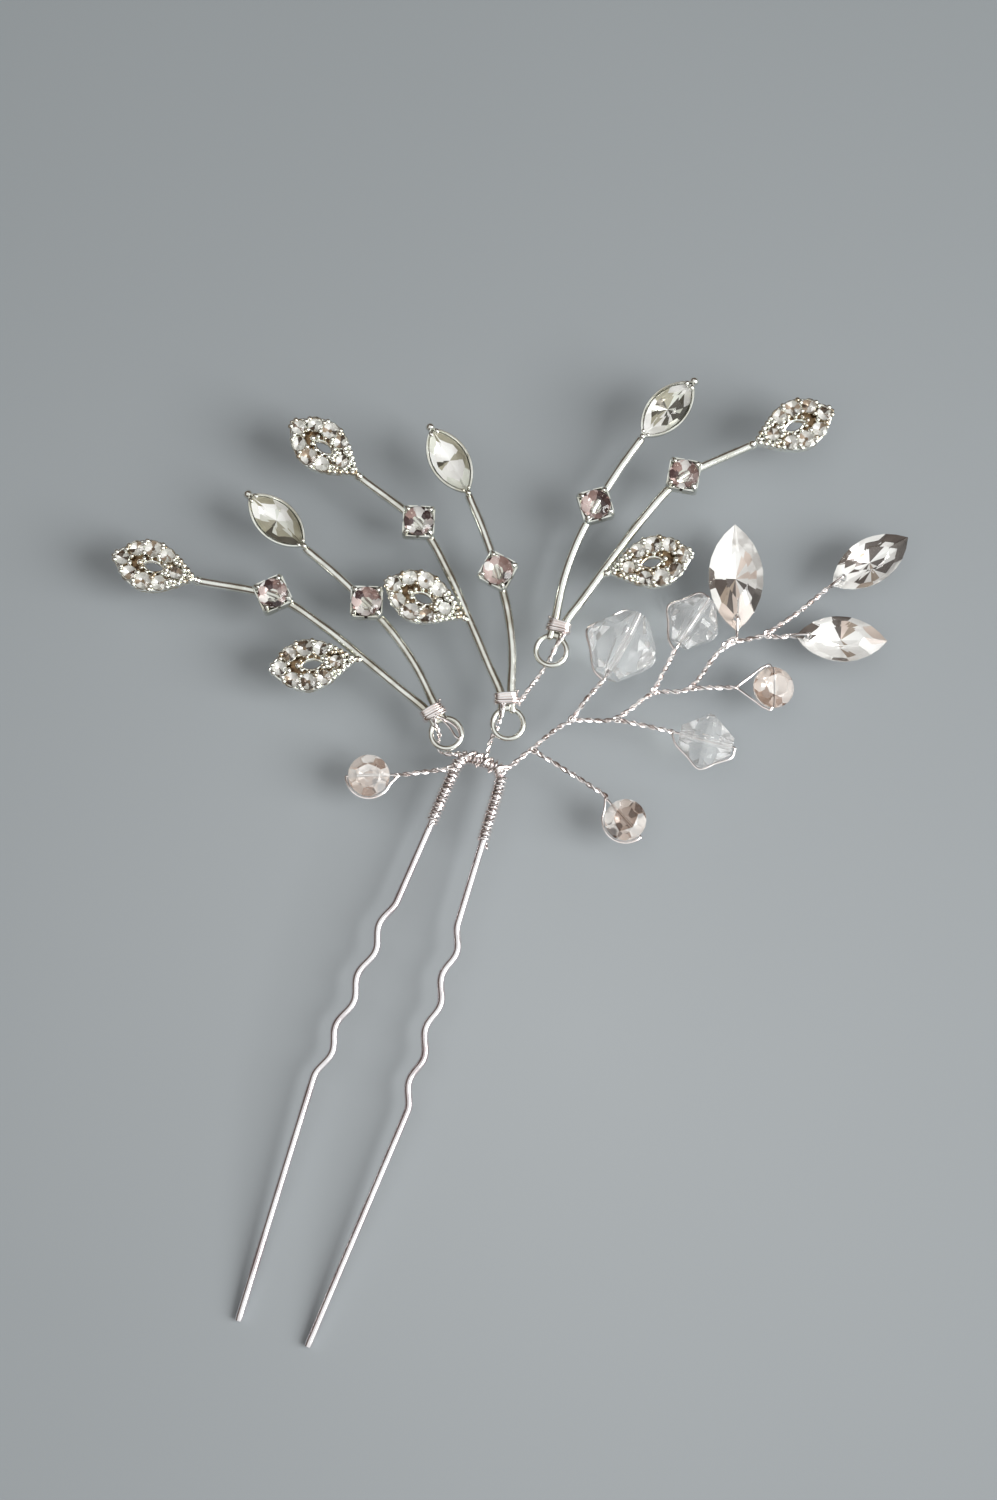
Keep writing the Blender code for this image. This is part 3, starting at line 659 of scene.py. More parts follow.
def drilled(form, radius, reach, matrix):
    """A stone with a round hole through it, along Z of matrix and as far as reach each way."""
    edge = circle(16, radius)
    hole = placed(skin([edge - UP * reach, edge + UP * reach]), matrix)
    stone, drill = [linked("drilling", mesh_of("drilling", part)) for part in (form, hole)]
    cut = stone.modifiers.new("hole", "BOOLEAN")
    cut.operation = "DIFFERENCE"
    cut.object = drill
    result = form_of(finished(stone))
    bpy.data.objects.remove(drill)
    return result


def lie_of(node, up, away_from, floor):
    """How a flat pointed node lies: +Y along it away from a place, +Z up, and its underside at floor."""
    points = np.array([v.co[:] for v in frame["nodes"][node].data.vertices]) / MM
    up = np.asarray(up, float)
    middle = points.mean(0)
    level = points - middle
    level = level - np.outer(level @ up, up)
    along = np.linalg.svd(level, full_matrices=False)[2][0]
    if along.dot(middle - away_from) < 0:
        along = -along
    across = np.cross(along, up)
    centre = sum(axis * ((points @ axis).min() + (points @ axis).max()) / 2 for axis in (across, along))
    centre = centre + up * ((points @ up).min() - floor)
    matrix = Matrix.Identity(4)
    for column, axis in enumerate((across, along, up, centre)):
        for row in range(3):
            matrix[row][column] = axis[row]
    return matrix


# ---- The pin and its binding ----


def leg_half(y):
    crinkled = CRINKLES * CRINKLE_PITCH
    if y < STRAIGHT_TO:
        return BRIDGE_HALF + (SHOULDER_HALF - BRIDGE_HALF) * y / STRAIGHT_TO
    if y < STRAIGHT_TO + crinkled:
        past = y - STRAIGHT_TO
        wave = CRINKLE_DEPTH * (1 - math.cos(2 * PI * past / CRINKLE_PITCH))
        return SHOULDER_HALF + wave + CRINKLE_SPREAD * past / crinkled
    widest = SHOULDER_HALF + CRINKLE_SPREAD + 2 * CRINKLE_DEPTH
    along = (y - STRAIGHT_TO - crinkled) / (LEG_LENGTH - STRAIGHT_TO - crinkled)
    return widest + (TIP_HALF - widest) * along


def leg_height(y):
    return BRIDGE_Z + (PIN_WIRE_R + 0.02 - BRIDGE_Z) * (y / LEG_LENGTH) ** 2


def leg_point(side, y):
    return np.array((side * leg_half(y), -y, leg_height(y)))


def bridge_arc(side):
    middle = side * (BRIDGE_HALF - BRIDGE_BEND_R)
    angles = [PI / 2 * step / 10 for step in range(11)]
    return [
        np.array((middle + side * BRIDGE_BEND_R * math.cos(a), BRIDGE_BEND_R * (math.sin(a) - 1), BRIDGE_Z))
        for a in angles
    ]


def add_pin():
    stops = np.arange(LEG_LENGTH, LEG_FROM, -0.35)
    left = [leg_point(-1, y) for y in stops]
    right = [leg_point(1, y) for y in stops[::-1]]
    path = np.array(left + bridge_arc(-1) + bridge_arc(1)[::-1] + right)
    radii = np.full(len(path), PIN_WIRE_R)
    radii[0] = radii[-1] = PIN_WIRE_R * 0.9
    make("pin_wire", at_bridge(sweep(path, radii, 16, rounded=False)), PIN_SILVER, "pin", ["pin_fork"])
    for name, side in (("left", -1), ("right", 1)):
        leg = [leg_point(side, y) for y in np.linspace(LEG_WRAP_TO, LEG_FROM, 12)] + bridge_arc(side)[:7]
        turns = wound(leg, PIN_WIRE_R + BINDING_R + LEG_WRAP_SLACK, LEG_WRAP_PITCH, side, 18, 0.06)
        tail = [turns[0] + np.array((0.3 * side, -0.55, 0.1)) * k for k in (1.0, 0.5)]
        coil = at_bridge(sweep(np.vstack((tail, turns)), BINDING_R, 8))
        make(name + "_leg_binding", coil, BINDING_WIRE, "pin", [name + "_leg_wrap"])
    add_bridge_binding()


def add_bridge_binding():
    """Uneven turns of fine wire over the bridge, with strands that cross them at a slant."""
    middle = np.array(bridge_arc(-1)[6:] + bridge_arc(1)[::-1][:5])
    strands = [sweep(wound(middle, PIN_WIRE_R + BINDING_R + 0.08, 0.41, 0.6, 18, 0.3), BINDING_R, 8)]
    crossings = (
        ((-1.7, -0.75, 4.2), (-0.9, 0.1, 4.95), (-0.3, 0.72, 4.5), (-0.1, 0.62, 3.6)),
        ((-0.5, -0.75, 4.2), (0.2, -0.1, 5.0), (0.8, 0.6, 4.6), (1.0, 0.7, 3.8)),
        ((-2.5, -0.5, 4.7), (-1.6, 0.1, 4.95), (-1.1, 0.75, 4.4), (-0.9, 0.6, 3.6)),
        ((1.0, -0.85, 4.2), (1.7, -0.3, 4.95), (2.4, 0.2, 4.6), (2.9, 0.4, 4.3)),
    )
    strands += [sweep(smooth(points), BINDING_R, 8) for points in crossings]
    make("bridge_binding", at_bridge(joined(*strands)), BINDING_WIRE, "pin", ["bridge_wrap"])


# ---- A sprig ----


def square_cup():
    """A square cup on its base: four corner walls with slits between them, each with a claw."""
    floor = ((0.86, -0.82), (0.97, -0.7), (1.0, -0.5), (1.0, 0.35))
    forms = [layered(rounded_square(CUP_HALF - 0.08, 0.35), floor)]
    out, inner = CUP_HALF, CUP_HALF - CUP_WALL
    wall = ((out, CUP_SLIT), (out, out - 0.3), (out - 0.09, out - 0.09), (out - 0.3, out))
    wall += ((CUP_SLIT, out), (CUP_SLIT, inner), (out - 0.36, out - 0.2), (inner, CUP_SLIT))
    claw = smooth(((1.46, 1.46, 0.2), (1.5, 1.5, 1.0), (1.42, 1.42, 1.5), (1.24, 1.24, 1.7)), 5)
    claw_form = sweep(claw, np.linspace(0.3, 0.27, len(claw)), 10)
    corner = inset_layers(wall, ((0.0, -0.1), (0.0, 1.2), (0.03, 1.26)))
    for quarter in range(4):
        turn = Matrix.Rotation(PI / 2 * quarter, 4, "Z")
        forms += [placed(corner, turn), placed(claw_form, turn)]
    return joined(*forms)


def cup_places(side):
    places = []
    for rod, index in ((NAVETTE_ROD, 4), (LEAF_ROD, 5)):
        before, spot, after = (np.array(p) * (side, 1) for p in rod[index - 1 : index + 2])
        turn = math.atan2(before[0] - after[0], after[1] - before[1])
        places.append((spot, turn + PI / 4))
    return places


def sprig_frame(side, cup):
    """Ring, rods and cups, from the near side of the ring."""
    forms = [sweep(circle(56, RING_R), RING_WIRE_R, 12, closed=True)]
    for rod in (NAVETTE_ROD, LEAF_ROD):
        path, _ = spaced(smooth([(x * side, y) for x, y in ((rod[0][0], 1.45),) + rod[1:]]), 0.5)
        uneven = np.array([ROD_R * (1 + rng.uniform(-0.025, 0.025)) for _ in path])
        uneven[:2] = ROD_R * 0.92
        forms.append(sweep(path, uneven, 14))
    forms.append(ellipsoid((0.0, RING_R + 0.12, -0.05), (1.05, 0.5, 0.4)))
    for spot, angle in cup_places(side):
        forms.append(placed(cup, Matrix.Translation((*spot, 0.0)) @ Matrix.Rotation(angle, 4, "Z")))
    end = np.array(LEAF_ROD[-1]) * (side, 1)
    forms.append(ellipsoid((*end, 0.0), (0.6, 0.6, 0.5)))
    return shifted(joined(*forms), (0.0, RING_R, 0.0))


RING_STRANDS = {
    "left": ((-0.75, 0.2, -0.35), (-0.6, 1.0, 0.2), (-0.4, 2.1, 0.75)),
    "middle": ((-1.0, 0.25, -0.35), (-0.7, 1.0, 0.2), (-0.4, 2.1, 0.75)),
    "right": ((0.1, -0.95, -0.3), (0.35, 0.6, 0.1), (0.8, 2.1, 0.7)),
}


def rod_binding(name, side):
    """Turns of wire round both rods, and the strands that come to them through the ring."""
    forms = []
    turns, per = 5, 26
    points = []
    for step in range(turns * per + 1):
        angle = 2 * PI * step / per
        along = step / (turns * per)
        wide = 1.28 + 0.05 * math.sin(7 * along)
        x = wide * math.copysign(abs(math.cos(angle)) ** 0.8, math.cos(angle))
        z = 0.68 * math.copysign(abs(math.sin(angle)) ** 0.8, math.sin(angle))
        splay = 0.16 * (along - 0.5) * math.cos(angle)
        points.append((side * x, 2.15 + 1.35 * along + splay, z))
    forms.append(sweep(points, STRAND_R, 8))
    forms.append(twisted(smooth(RING_STRANDS[name])))
    if name == "left":
        loop = ((0.0, 2.2, 0.7), (0.75, 1.1, 0.5), (1.25, -0.2, 0.42), (1.0, -1.3, 0.42))
        loop += ((0.65, -0.9, 0.42), (0.6, 0.4, 0.42), (0.15, 2.1, 0.6))
        forms.append(sweep(smooth(loop), STRAND_R, 8))
    return shifted(joined(*forms), (0.0, RING_R, 0.0))


def pair(x, y, radius):
    """The same round thing on each side of a leaf's middle."""
    return [(-x, y, radius), (x, y, radius)]


def leaf_stones():
    """Where each small stone of a leaf sits, and its radius."""
    spots = [(0.0, leaf_y(0.875), 0.82), (0.0, leaf_y(0.245), 0.7)]
    for t, radius in ((0.395, 0.84), (0.57, 0.95), (0.75, 0.84)):
        spots += pair(leaf_half(t) - radius - 0.06, leaf_y(t), radius)
    return spots


def leaf_casting():
    """A pierced leaf: plate, rim, a collar round each stone, and beads between them."""
    outline = leaf_outline()
    eye = [(x, y + LEAF_EYE_Y) for x, y in pointed_oval(*LEAF_EYE, 10)]
    forms = [pierced_plate(outline, eye, -0.55, 0.12)]
    edge = flat(outline)
    way, rise = inward(edge), UP * LEAF_RIM_TOP
    forms.append(sweep(edge + way * 0.12 + rise, 0.14, 8, closed=True))
    wall, inner = edge + way * 0.04, edge + way * 0.22
    forms.append(skin([wall, wall + rise, inner + rise, inner], True))
    eye_edge = [(x * 1.12, LEAF_EYE_Y + (y - LEAF_EYE_Y) * 1.03, 0.7) for x, y in eye]
    forms.append(sweep(eye_edge, 0.13, 8, closed=True))
    for x, y, radius in leaf_stones():
        collar = circle(24, radius + 0.06) + (x, y, 0.0)
        lip = circle(24, radius * 0.94) + (x, y, 0.0)
        forms.append(skin([collar + UP * 0.1, collar + UP * 0.78, lip + UP * 0.9, lip + UP * 0.1], True))
    forms += [ellipsoid((x, y, 0.92), radius) for x, y, radius in leaf_beads()]
    forms += [ellipsoid((x, y, 0.78), radius) for x, y, radius in rim_beads()]
    forms.append(ellipsoid((0.0, leaf_y(0.0) - 0.05, 0.3), (0.45, 0.5, 0.45), 14, 10))
    return joined(*forms)


def rim_beads():
    """Beads along the leaf's rim, one at each gap between stones and close together at its base."""
    beads = []
    for t in (0.07, 0.125, 0.18, 0.235, 0.29, 0.48, 0.66, 0.84, 0.95):
        beads += pair(leaf_half(t) - 0.2, leaf_y(t), 0.36 if t < 0.4 else 0.34)
    return beads


def leaf_beads():
    """Small beads that hold the stones, in the gaps between them, round the eye and at the base."""
    stones = leaf_stones()
    beads = []
    for first, second in NEIGHBOURS:
        (ax, ay, ar), (bx, by, br) = stones[first], stones[second]
        share = ar / (ar + br)
        x, y = ax + (bx - ax) * share, ay + (by - ay) * share
        way = math.atan2(by - ay, bx - ax) + PI / 2
        beads += [(x + reach * math.cos(way), y + reach * math.sin(way), 0.32) for reach in (-0.5, 0.5)]
    ends = LEAF_EYE[0] / 2 + 0.32
    beads += [(0.0, LEAF_EYE_Y + end, 0.34) for end in (-ends, ends)]
    round_eye = [2 * PI * (k + 0.5) / 10 for k in range(10)]
    beads += [(0.88 * math.cos(a), LEAF_EYE_Y + 1.45 * math.sin(a), 0.25) for a in round_eye]
    beads += [(0.0, leaf_y(0.15), 0.34), (0.0, leaf_y(0.09), 0.28)]
    for t, wide in ((0.165, 0.55), (0.235, 1.02), (0.32, 0.52), (0.31, 1.3)):
        beads += pair(wide, leaf_y(t), 0.29)
    return beads


def pierced_plate(outline, hole, low, high):
    """A flat plate with one hole and softened edges."""
    curve = bpy.data.curves.new("plate", "CURVE")
    curve.dimensions = "2D"
    curve.fill_mode = "BOTH"
    soften = 0.1
    curve.extrude = (high - low) / 2 - soften
    curve.bevel_depth = soften
    curve.bevel_resolution = 2
    curve.offset = -soften
    for points in (outline, hole):
        spline = curve.splines.new("POLY")
        spline.points.add(len(points) - 1)
        spline.use_cyclic_u = True
        for index, (x, y) in enumerate(points):
            spline.points[index].co = (x, y, 0.0, 1.0)
    work = finished(linked("plate", curve))
    bmesh.ops.remove_doubles(work, verts=work.verts, dist=1e-5)
    bmesh.ops.recalc_face_normals(work, faces=work.faces)
    return shifted(form_of(work), (0.0, 0.0, (low + high) / 2))


def leaf_bed():
    """The dark floor that the leaf's stones stand on."""
    eye = [(x * 1.2, y * 1.05 + LEAF_EYE_Y) for x, y in pointed_oval(*LEAF_EYE, 10)]
    inner = [(x * 0.93, y * 0.95) for x, y in leaf_outline()]
    return pierced_plate(inner, eye, 0.1, 0.36)


def navette_cup():
    """A thin pointed cup with a rolled edge, a ball at its outer point and beads at the inner one."""
    length, width = NAVETTE[0] + 0.95, NAVETTE[1] + 0.85
    outline = pointed_oval(length, width)
    levels = ((1.35, -0.78), (1.0, -0.72), (0.42, -0.3), (0.08, 0.25), (0.0, 0.85), (0.06, 0.98), (0.2, 1.0))
    levels += ((0.28, 0.9), (0.34, 0.4), (0.8, 0.0))
    forms = [inset_layers(outline, levels)]
    tip = length / 2
    forms.append(ellipsoid((0.0, tip + 0.12, 0.45), 0.5, 16, 12))
    for x, y, radius in ((0.0, -tip + 0.1, 0.36), (0.34, -tip + 0.62, 0.24), (-0.34, -tip + 0.62, 0.24)):
        forms.append(ellipsoid((x, y, 0.85), (radius, radius, radius * 0.9)))
    for x in (-0.36, 0.36):
        forms.append(ellipsoid((x, tip - 0.75, 1.05), (0.26, 0.34, 0.22)))
    return joined(*forms)


def sprig_matrix(name):
    joint = joints[name + "_sprig_lift"]
    heading = math.atan2(joint["axis"][1], joint["axis"][0])
    turn = Matrix.Rotation(heading, 4, "Z") @ Matrix.Rotation(math.radians(PITCHES[name]), 4, "X")
    return Matrix.Translation(Vector(joint["pos_m"]) / MM) @ turn


def add_sprig(name, shared):
    side, body, lie = SIDES[name], name + "_sprig", sprig_matrix(name)
    up = np.array(lie.to_3x3().col[2])
    hinge = np.array(lie.translation)

    def add(label, form, looks, node, crease=SOFT):
        make(f"{name}_{label}", form, looks, body, [f"{name}_{node}"], crease=crease)

    add("sprig_casting", placed(sprig_frame(side, shared["cup"]), lie), CAST_SILVER, "sprig_frame")
    add("rod_binding", placed(rod_binding(name, side), lie), BINDING_WIRE, "rod_tie")
    for rod, (spot, turn) in zip(("navette_rod", "leaf_rod"), cup_places(side)):
        seat = Matrix.Translation((spot[0], spot[1] + RING_R, CHATON_SEAT)) @ Matrix.Rotation(turn, 4, "Z")
        stone = placed(shared["chaton"], lie @ seat)
        add(rod + "_round_stone", stone, [CROWN_GLASS, ROSE_FOIL], rod + "_chaton", FACETED)
    along = lie_of(name + "_navette", up, hinge, NAVETTE_CUP_LOW)
    add("navette_setting", placed(shared["navette_cup"], along), CAST_SILVER, "navette_cup")
    stone = placed(shared["navette"], along @ Matrix.Translation((0.0, 0.0, NAVETTE_SEAT)))
    add("navette_stone", stone, [CROWN_GLASS, SILVER_FOIL], "navette", FACETED)
    for place in ("end", "side"):
        add_leaf(f"{name}_{place}_leaf", body, up, hinge, shared)


def add_leaf(node, body, up, hinge, shared):
    along = lie_of(node, up, hinge, LEAF_LOW)
    make(node + "_casting", placed(shared["leaf"], along), LEAF_SILVER, body, [node])
    make(node + "_bed", placed(shared["leaf_bed"], along), AMBER_BED, body, [node + "_pave"])
    looks = [CROWN_GLASS, AMBER_FOIL]
    for index, (x, y, radius) in enumerate(leaf_stones()):
        turn = Matrix.Rotation(rng.uniform(0, PI), 4, "Z") @ Matrix.Scale(radius, 4)
        seat = Matrix.Translation((x, y, SMALL_STONE_SEAT)) @ turn
        stone = placed(shared["small_stone"], along @ seat)
        make(f"{node}_stone_{index + 1}", stone, looks, body, crease=FACETED)


def add_sprigs():
    mains = (-0.75, -0.25, 0.25, 0.75)
    backs = (-0.85, -0.6, -0.3, -0.1, 0.1, 0.3, 0.6, 0.85)
    heights = {"belt": 0.08, "top": 0.95, "depth": 0.7}
    shared = {
        "cup": square_cup(),
        "chaton": brilliant(CHATON_R),
        "small_stone": brilliant(1.0, 0.5, 34.0, 0.05, 30.0),
        "navette_cup": navette_cup(),
        "navette": pointed_stone(
            *NAVETTE, **heights, table=0.45, mains=mains, stars=(-0.5, 0.0, 0.5), backs=backs
        ),
        "leaf": leaf_casting(),
        "leaf_bed": leaf_bed(),
    }
    for name in SIDES:
        add_sprig(name, shared)
    add_ring_ties()


def add_ring_ties():
    """Twisted wires that pass under each ring's near side and come up inside it."""
    left = ((-2.2, 0.1, 4.5), (-3.3, -0.35, 4.35), (-4.5, -0.5, 4.0), (-5.3, 0.1, 3.85), (-5.4, 0.8, 4.1))
    middle = ((0.25, 0.5, 4.5), (0.12, 1.3, 4.3), (0.03, 2.5, 3.95), (0.03, 3.5, 3.85), (0.1, 4.2, 4.1))
    right = ((1.5, 7.2, 4.95), (2.0, 9.2, 4.7), (2.6, 11.4, 4.2), (2.8, 12.4, 3.9), (2.8, 13.0, 4.1))
    routes = (("left", "pin", left), ("middle", "pin", middle), ("right", "middle_sprig", right))
    for name, body, route in routes:
        form = twisted(smooth(route), 0.3, 1.9)
        make(name + "_ring_binding", at_bridge(form), BINDING_WIRE, body, [name + "_ring_tie"])


# ---- The spray ----


def level(point, z=SPRAY_Z):
    return np.array((point[0], point[1], z))


def eyelet(spot, way, radius=0.3):
    """A small loop of one strand at a junction, where the wire turned back on itself."""
    turn = np.linspace(0, 2 * PI, 20, endpoint=False)
    middle = spot + way * 0.34 + UP * 0.12
    side = np.cross(UP, way)
    path = middle + radius * (np.cos(turn)[:, None] * way * 1.25 + np.sin(turn)[:, None] * side)
    return sweep(path, STRAND_R * 0.95, 8, closed=True)


def unit(vector):
    return vector / np.linalg.norm(vector)


def rotated(way, degrees):
    cos, sin = math.cos(math.radians(degrees)), math.sin(math.radians(degrees))
    return np.array((way[0] * cos - way[1] * sin, way[0] * sin + way[1] * cos, way[2]))


def bead_spot(name):
    joint = joints[name + "_spin"]
    return np.array(joint["pos_m"]) / MM - BRIDGE, unit(np.array(joint["axis"], float))


def branch(root, rest, toward):
    """The twist of a branch, with an eyelet where it leaves the trunk."""
    return [twisted(smooth([root, *rest])), eyelet(root, unit(toward - root))]


def add_stem(name, forms):
    make(name + "_wire", at_bridge(joined(*forms)), BINDING_WIRE, "pin", [name + "_stem"])


def bicone_stem(name, root, bends, radius, side=1):
    """A twist to a double cone, one strand through its hole and back along its side."""
    centre, way = bead_spot(name)
    out = unit(np.cross(UP, way)) * side
    half, end_r = radius * BICONE_HALF_LENGTH, radius * BICONE_END
    entry = centre - way * (half + 0.75)
    forms = branch(root, [*bends, entry], entry)
    clear = STRAND_R + WIRE_GAP
    slant = unit(way * (radius - end_r) + out * half) * clear
    shoulder = way * half + out * end_r + slant
    belly = (way * half + out * (end_r + radius)) / 2 + slant
    back = [centre - way * (half + 0.55), centre - way * half, centre, centre + way * half]
    back += [centre + way * (half + clear + 0.05) + out * 0.35, centre + shoulder, centre + belly]
    back += [centre + out * (radius + clear + 0.03)]
    back += [centre + belly - way * 2 * belly.dot(way), centre + shoulder - way * 2 * shoulder.dot(way)]
    back += [entry - way * 0.1 + out * 0.1]
    add_stem(name, forms + [sweep(smooth(back, 6), STRAND_R, 8)])


def round_stem(name, root, bend, side):
    """A twist to a round stone, one strand through it and back round its edge."""
    centre, way = bead_spot(name)
    clear = ROUND_R + STRAND_R + WIRE_GAP
    entry = centre - way * (clear + 0.6)
    forms = branch(root, [level(bend), entry], entry)
    back = [entry, centre - way * ROUND_R, centre, centre + way * ROUND_R]
    back += [centre + rotated(way, side * angle) * clear for angle in range(6, 171, 15)] + [entry - way * 0.2]
    add_stem(name, forms + [sweep(smooth(back, 5), STRAND_R, 8)])


def forked_stem(name, root, end):
    """A twist that opens into a fork, with the wire between its points through a round stone."""
    centre, across = bead_spot(name)
    end = level(end)
    clear = ROUND_R + STRAND_R + WIRE_GAP
    way = unit(centre - end)
    forms = branch(root, [end], end)
    sides = []
    for sign in (1, -1):
        arm = [end - way * 0.2 + across * 0.05 * sign]
        arm += [centre + rotated(way, 90 * sign + turn * sign) * clear for turn in (44, 32, 20, 8)]
        sides.append(arm)
    path = sides[0] + [centre + across * ROUND_R * 0.6, centre - across * ROUND_R * 0.6] + sides[1][::-1]
    add_stem(name, forms + [sweep(smooth(path, 6), STRAND_R, 8)])


def bicone(radius):
    """A double cone of glass, cut in flat facets, with a hole along Z."""
    end_r, half, belt = radius * BICONE_END, radius * BICONE_HALF_LENGTH, BICONE_BELT / 2
    slope = math.degrees(math.atan2(half - belt, radius - end_r))
    flat_r = radius * math.cos(PI / 16)
    planes = rim_planes(8, 0.0, flat_r, 0.0, 90.0)
    planes += rim_planes(8, 0.5, flat_r, 0.0, 90.0)
    for sign in (1, -1):
        planes += rim_planes(8, 0.0, flat_r, sign * belt, sign * slope)
        planes += rim_planes(8, 0.5, flat_r, sign * belt, sign * (slope + 12))
        planes.append((rise(sign * half), rise(sign)))
    return drilled(cut_stone(planes), HOLE_R, radius, Matrix.Identity(4))


def round_stone():
    """A round stone cut on both faces and drilled edge to edge along Y."""
    planes = rim_planes(24, 0.5, ROUND_R, 0.0, 90.0)
    top, belt = 1.4, 0.2
    for sign, table in ((1, 0.55), (-1, 0.25)):
        slope = math.degrees(math.atan2(top - belt, ROUND_R * (1 - table)))
        planes += rim_planes(8, 0.0, ROUND_R, belt * sign, sign * slope)
        planes += rim_planes(16, 0.5, ROUND_R, belt * sign, sign * (slope + 9))
        planes += rim_planes(8, 0.5, ROUND_R * table * math.cos(PI / 8), top * sign, sign * slope * 0.5)
        planes.append((rise(top * sign), rise(sign)))
    return drilled(cut_stone(planes), STONE_HOLE_R, 4.0, Matrix.Rotation(PI / 2, 4, "X"))


def add_bead(name, form, look, turn):
    """A bead on its wire, turned about it. Its form has the hole along Y."""
    centre, way = bead_spot(name)
    heading = Vector(way).to_track_quat("Y", "Z").to_matrix().to_4x4() @ Matrix.Rotation(turn, 4, "Y")
    lie = Matrix.Translation(Vector(centre + BRIDGE)) @ heading
    make(name + "_glass", placed(form, lie), look, name + "_bead", [name], crease=FACETED)


def add_drop(name, size, root, shared):
    """A pointed drop, and the twist whose last loop goes up through its hole and over its point."""
    lie = lie_of(name, UP, root + BRIDGE, DROP_LOW)
    looks = [CROWN_GLASS, DROP_FOILS[name]]
    make(name + "_crystal", placed(shared, lie), looks, "pin", [name], crease=FACETED)
    centre = np.array(lie.translation) - BRIDGE
    across, way = (np.array(lie.to_3x3().col[column]) for column in (0, 1))
    tip = centre - way * (size[0] / 2)
    hole = tip + way * DROP_HOLE_IN
    forms = branch(root, [(root + tip) / 2 + across * 0.15, tip - way * 0.75], tip)
    loop = [tip - way * 0.9, tip - way * 0.3 - UP * 0.55, hole - way * 0.25 - UP * 1.0]
    loop += [hole - UP * 0.85, hole + UP * 0.9, hole - way * 0.3 + UP * 1.15]
    loop += [tip - way * 0.1 + UP * 0.75, tip - way * 0.75 + UP * 0.12]
    add_stem(name, forms + [sweep(smooth(loop, 6), STRAND_R, 8)])


def add_spray():
    stops = [level(p) for p in TRUNK]
    trunk = twisted(smooth([level((2.2, -0.3), 4.6)] + stops), 0.4)
    make("spray_trunk_wire", at_bridge(trunk), BINDING_WIRE, "pin", ["spray_trunk"])
    bicone_stem("large_bicone", stops[2], [level((8.3, 10.4), 4.8)], BICONE_LARGE_R)
    bicone_stem("outer_bicone", stops[3], [level((17.0, 10.0))], BICONE_SMALL_R, -1)
    bicone_stem("upper_bicone", stops[4], [], BICONE_SMALL_R)
    round_stem("lower_round", stops[1], (13.0, 1.2), -1)
    round_stem("left_round", level((-2.75, -1.8)), (-8.0, -4.5), 1)
    forked_stem("outer_round", stops[5], (23.4, 17.3))
    upright = Matrix.Rotation(-PI / 2, 4, "X")
    large, small = (placed(bicone(radius), upright) for radius in (BICONE_LARGE_R, BICONE_SMALL_R))
    for name, form, turn in (("large", large, 0.2), ("outer", small, 0.3), ("upper", small, 0.1)):
        add_bead(name + "_bicone", form, CLEAR_GLASS, turn)
    stone = round_stone()
    for name, turn in (("lower", 0.1), ("left", -0.15), ("outer", 0.2)):
        add_bead(name + "_round", stone, [BEAD_CROWN, BEAD_FOIL], turn)
    mains = (-0.8, -0.4, 0.0, 0.4, 0.8)
    backs = (-0.9, -0.62, -0.36, -0.12, 0.12, 0.36, 0.62, 0.9)
    facets = {"table": 0.45, "mains": mains, "stars": (-0.6, -0.2, 0.2, 0.6), "backs": backs}
    for name, size, root in (
        ("large_drop", DROP_LARGE, stops[6]),
        ("upper_drop", DROP_SMALL, stops[7]),
        ("outer_drop", DROP_SMALL, stops[7]),
    ):
        stone = pointed_stone(*size, belt=0.15, top=1.45, depth=1.7, **facets)
        hole = Matrix.Translation((0.0, DROP_HOLE_IN - size[0] / 2, 0.0))
        add_drop(name, size, root, drilled(stone, DROP_HOLE_R, 3.0, hole))


# ---- Floor, light and camera ----

# The surroundings are pale on one side and dark elsewhere. These are the X and Y parts of the way
# out where that changes.
SKY_DARK_X = -0.8
SKY_BRIGHT_X = -0.35
SKY_NEAR = -0.85
SKY_FAR = 0.62
SKY_FADE = 0.3
SKY_STRENGTH = 0.87

# A pool of light is painted on the floor: it is palest at one spot, and its tone is set by how far from there
# it is, in metres.
FLOOR_LIGHT_POOL_CENTRE = (0.024, -0.016, 0.0)
FLOOR_CLOUD = 0.03
FLOOR_HALF = 15.0
FLOOR_LIGHT_POOL_TONES = (
    (0.0, (0.385, 0.412, 0.43)),
    (0.08, (0.315, 0.340, 0.358)),
    (0.16, (0.27, 0.295, 0.31)),
    (0.5, (0.25, 0.27, 0.28)),
)

WINDOW_SPOT = (0.90, 0.05, 0.70)
WINDOW_SIZE = (0.66, 0.78)
WINDOW_POWER = 12.4

# The camera looks at a place by the bridge, from this far round, up and away, in degrees and millimetres.
CAMERA_TURN = 20.0
CAMERA_LIFT = 78.5
CAMERA_AWAY = 305.0
CAMERA_AIM = (1.15, 1.77, 4.3)
CAMERA_LENS = 67.3


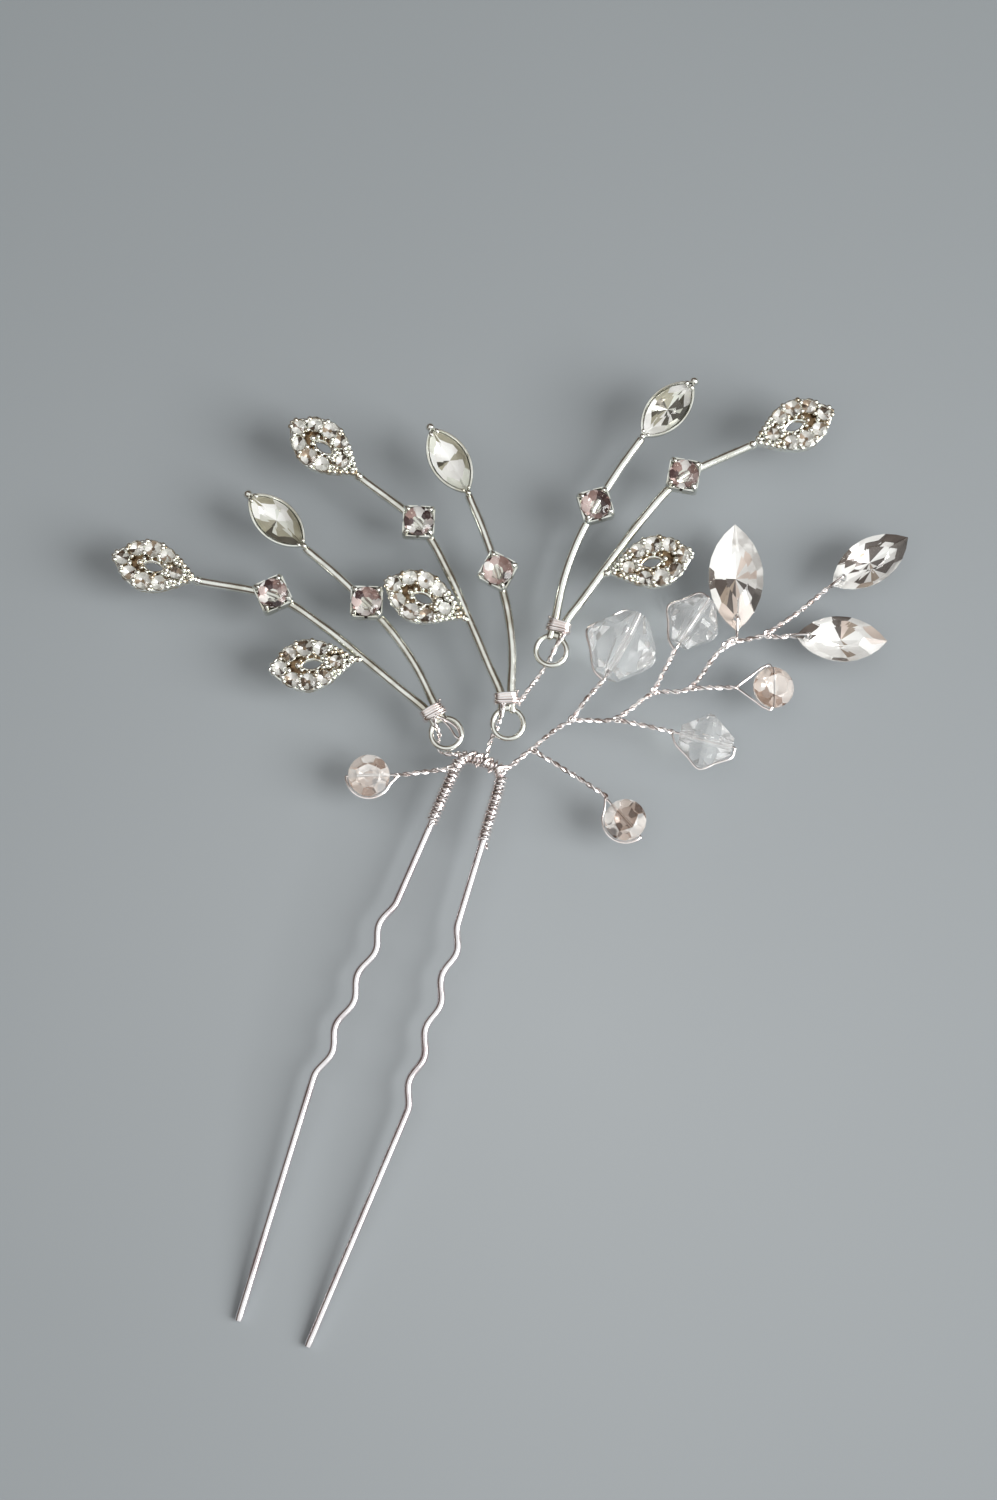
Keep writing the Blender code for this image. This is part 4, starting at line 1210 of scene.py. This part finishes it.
def add_floor():
    work = bmesh.new()
    bmesh.ops.create_grid(work, x_segments=4, y_segments=4, size=FLOOR_HALF)
    mesh = bpy.data.meshes.new("floor")
    work.to_mesh(mesh)
    work.free()
    floor = linked("floor", mesh)
    made, tree, shader = new_material("pale_floor")
    # Painted pool of light: the floor darkens with distance from its palest spot, with a little noise on that
    # distance.
    away = added(tree, "VectorMath", {1: FLOOR_LIGHT_POOL_CENTRE}, operation="DISTANCE")
    tree.links.new(added(tree, "TexCoord").outputs["Object"], away.inputs[0])
    cloudy = added(tree, "Math", {1: FLOOR_CLOUD}, operation="MULTIPLY_ADD")
    tree.links.new(noise_of(tree, 14.0, 2.0), cloudy.inputs[0])
    tree.links.new(away.outputs["Value"], cloudy.inputs[2])
    tone = ramp_of(tree, cloudy.outputs["Value"], FLOOR_LIGHT_POOL_TONES)
    tree.links.new(tone, shader.inputs["Base Color"])
    shader.inputs["Roughness"].default_value = 0.75
    mesh.materials.append(made)


def add_window():
    lamp = bpy.data.lights.new("window", "AREA")
    lamp.shape = "RECTANGLE"
    lamp.size, lamp.size_y = WINDOW_SIZE
    lamp.energy = WINDOW_POWER
    lamp.color = (1.0, 1.0, 0.99)
    obj = linked("window", lamp)
    obj.location = WINDOW_SPOT
    obj.rotation_euler = (-Vector(WINDOW_SPOT)).to_track_quat("-Z", "Y").to_euler()


def add_world():
    world = bpy.data.worlds.new("studio")
    bpy.context.scene.world = world
    world.use_nodes = True
    tree = world.node_tree
    background = tree.nodes["Background"]
    parts = added(tree, "SeparateXYZ")
    tree.links.new(added(tree, "TexCoord").outputs["Generated"], parts.inputs["Vector"])
    edges = [("X", SKY_DARK_X, SKY_BRIGHT_X)]
    edges += [("Y", SKY_NEAR, SKY_NEAR + SKY_FADE), ("Y", SKY_FAR, SKY_FAR - SKY_FADE)]
    bright = None
    for axis, dark_at, bright_at in edges:
        span = {"From Min": dark_at, "From Max": bright_at}
        fade = added(tree, "MapRange", span, interpolation_type="SMOOTHSTEP")
        tree.links.new(parts.outputs[axis], fade.inputs["Value"])
        if bright is None:
            bright = fade.outputs["Result"]
            continue
        both = added(tree, "Math", operation="MULTIPLY")
        tree.links.new(bright, both.inputs[0])
        tree.links.new(fade.outputs["Result"], both.inputs[1])
        bright = both.outputs["Value"]
    stops = ((0.0, (0.13, 0.10, 0.085)), (0.5, (0.50, 0.48, 0.46)), (1.0, (0.98, 1.0, 1.0)))
    tree.links.new(ramp_of(tree, bright, stops), background.inputs["Color"])
    background.inputs["Strength"].default_value = SKY_STRENGTH


def add_camera():
    turn, lift = math.radians(CAMERA_TURN), math.radians(CAMERA_LIFT)
    target = Vector(BRIDGE + np.array(CAMERA_AIM))
    forward = Vector((-math.sin(turn) * math.cos(lift), math.cos(turn) * math.cos(lift), -math.sin(lift)))
    camera = bpy.data.cameras.new("camera")
    camera.sensor_width = 36.0
    camera.lens = CAMERA_LENS
    camera.clip_start = 0.01
    obj = linked("camera", camera)
    obj.location = (target - forward * CAMERA_AWAY) * MM
    obj.rotation_euler = forward.to_track_quat("-Z", "Y").to_euler()
    bpy.context.scene.camera = obj


add_pin()
add_sprigs()
add_spray()
add_floor()
add_world()
add_window()
add_camera()
bpy.context.scene.view_settings.view_transform = "Standard"
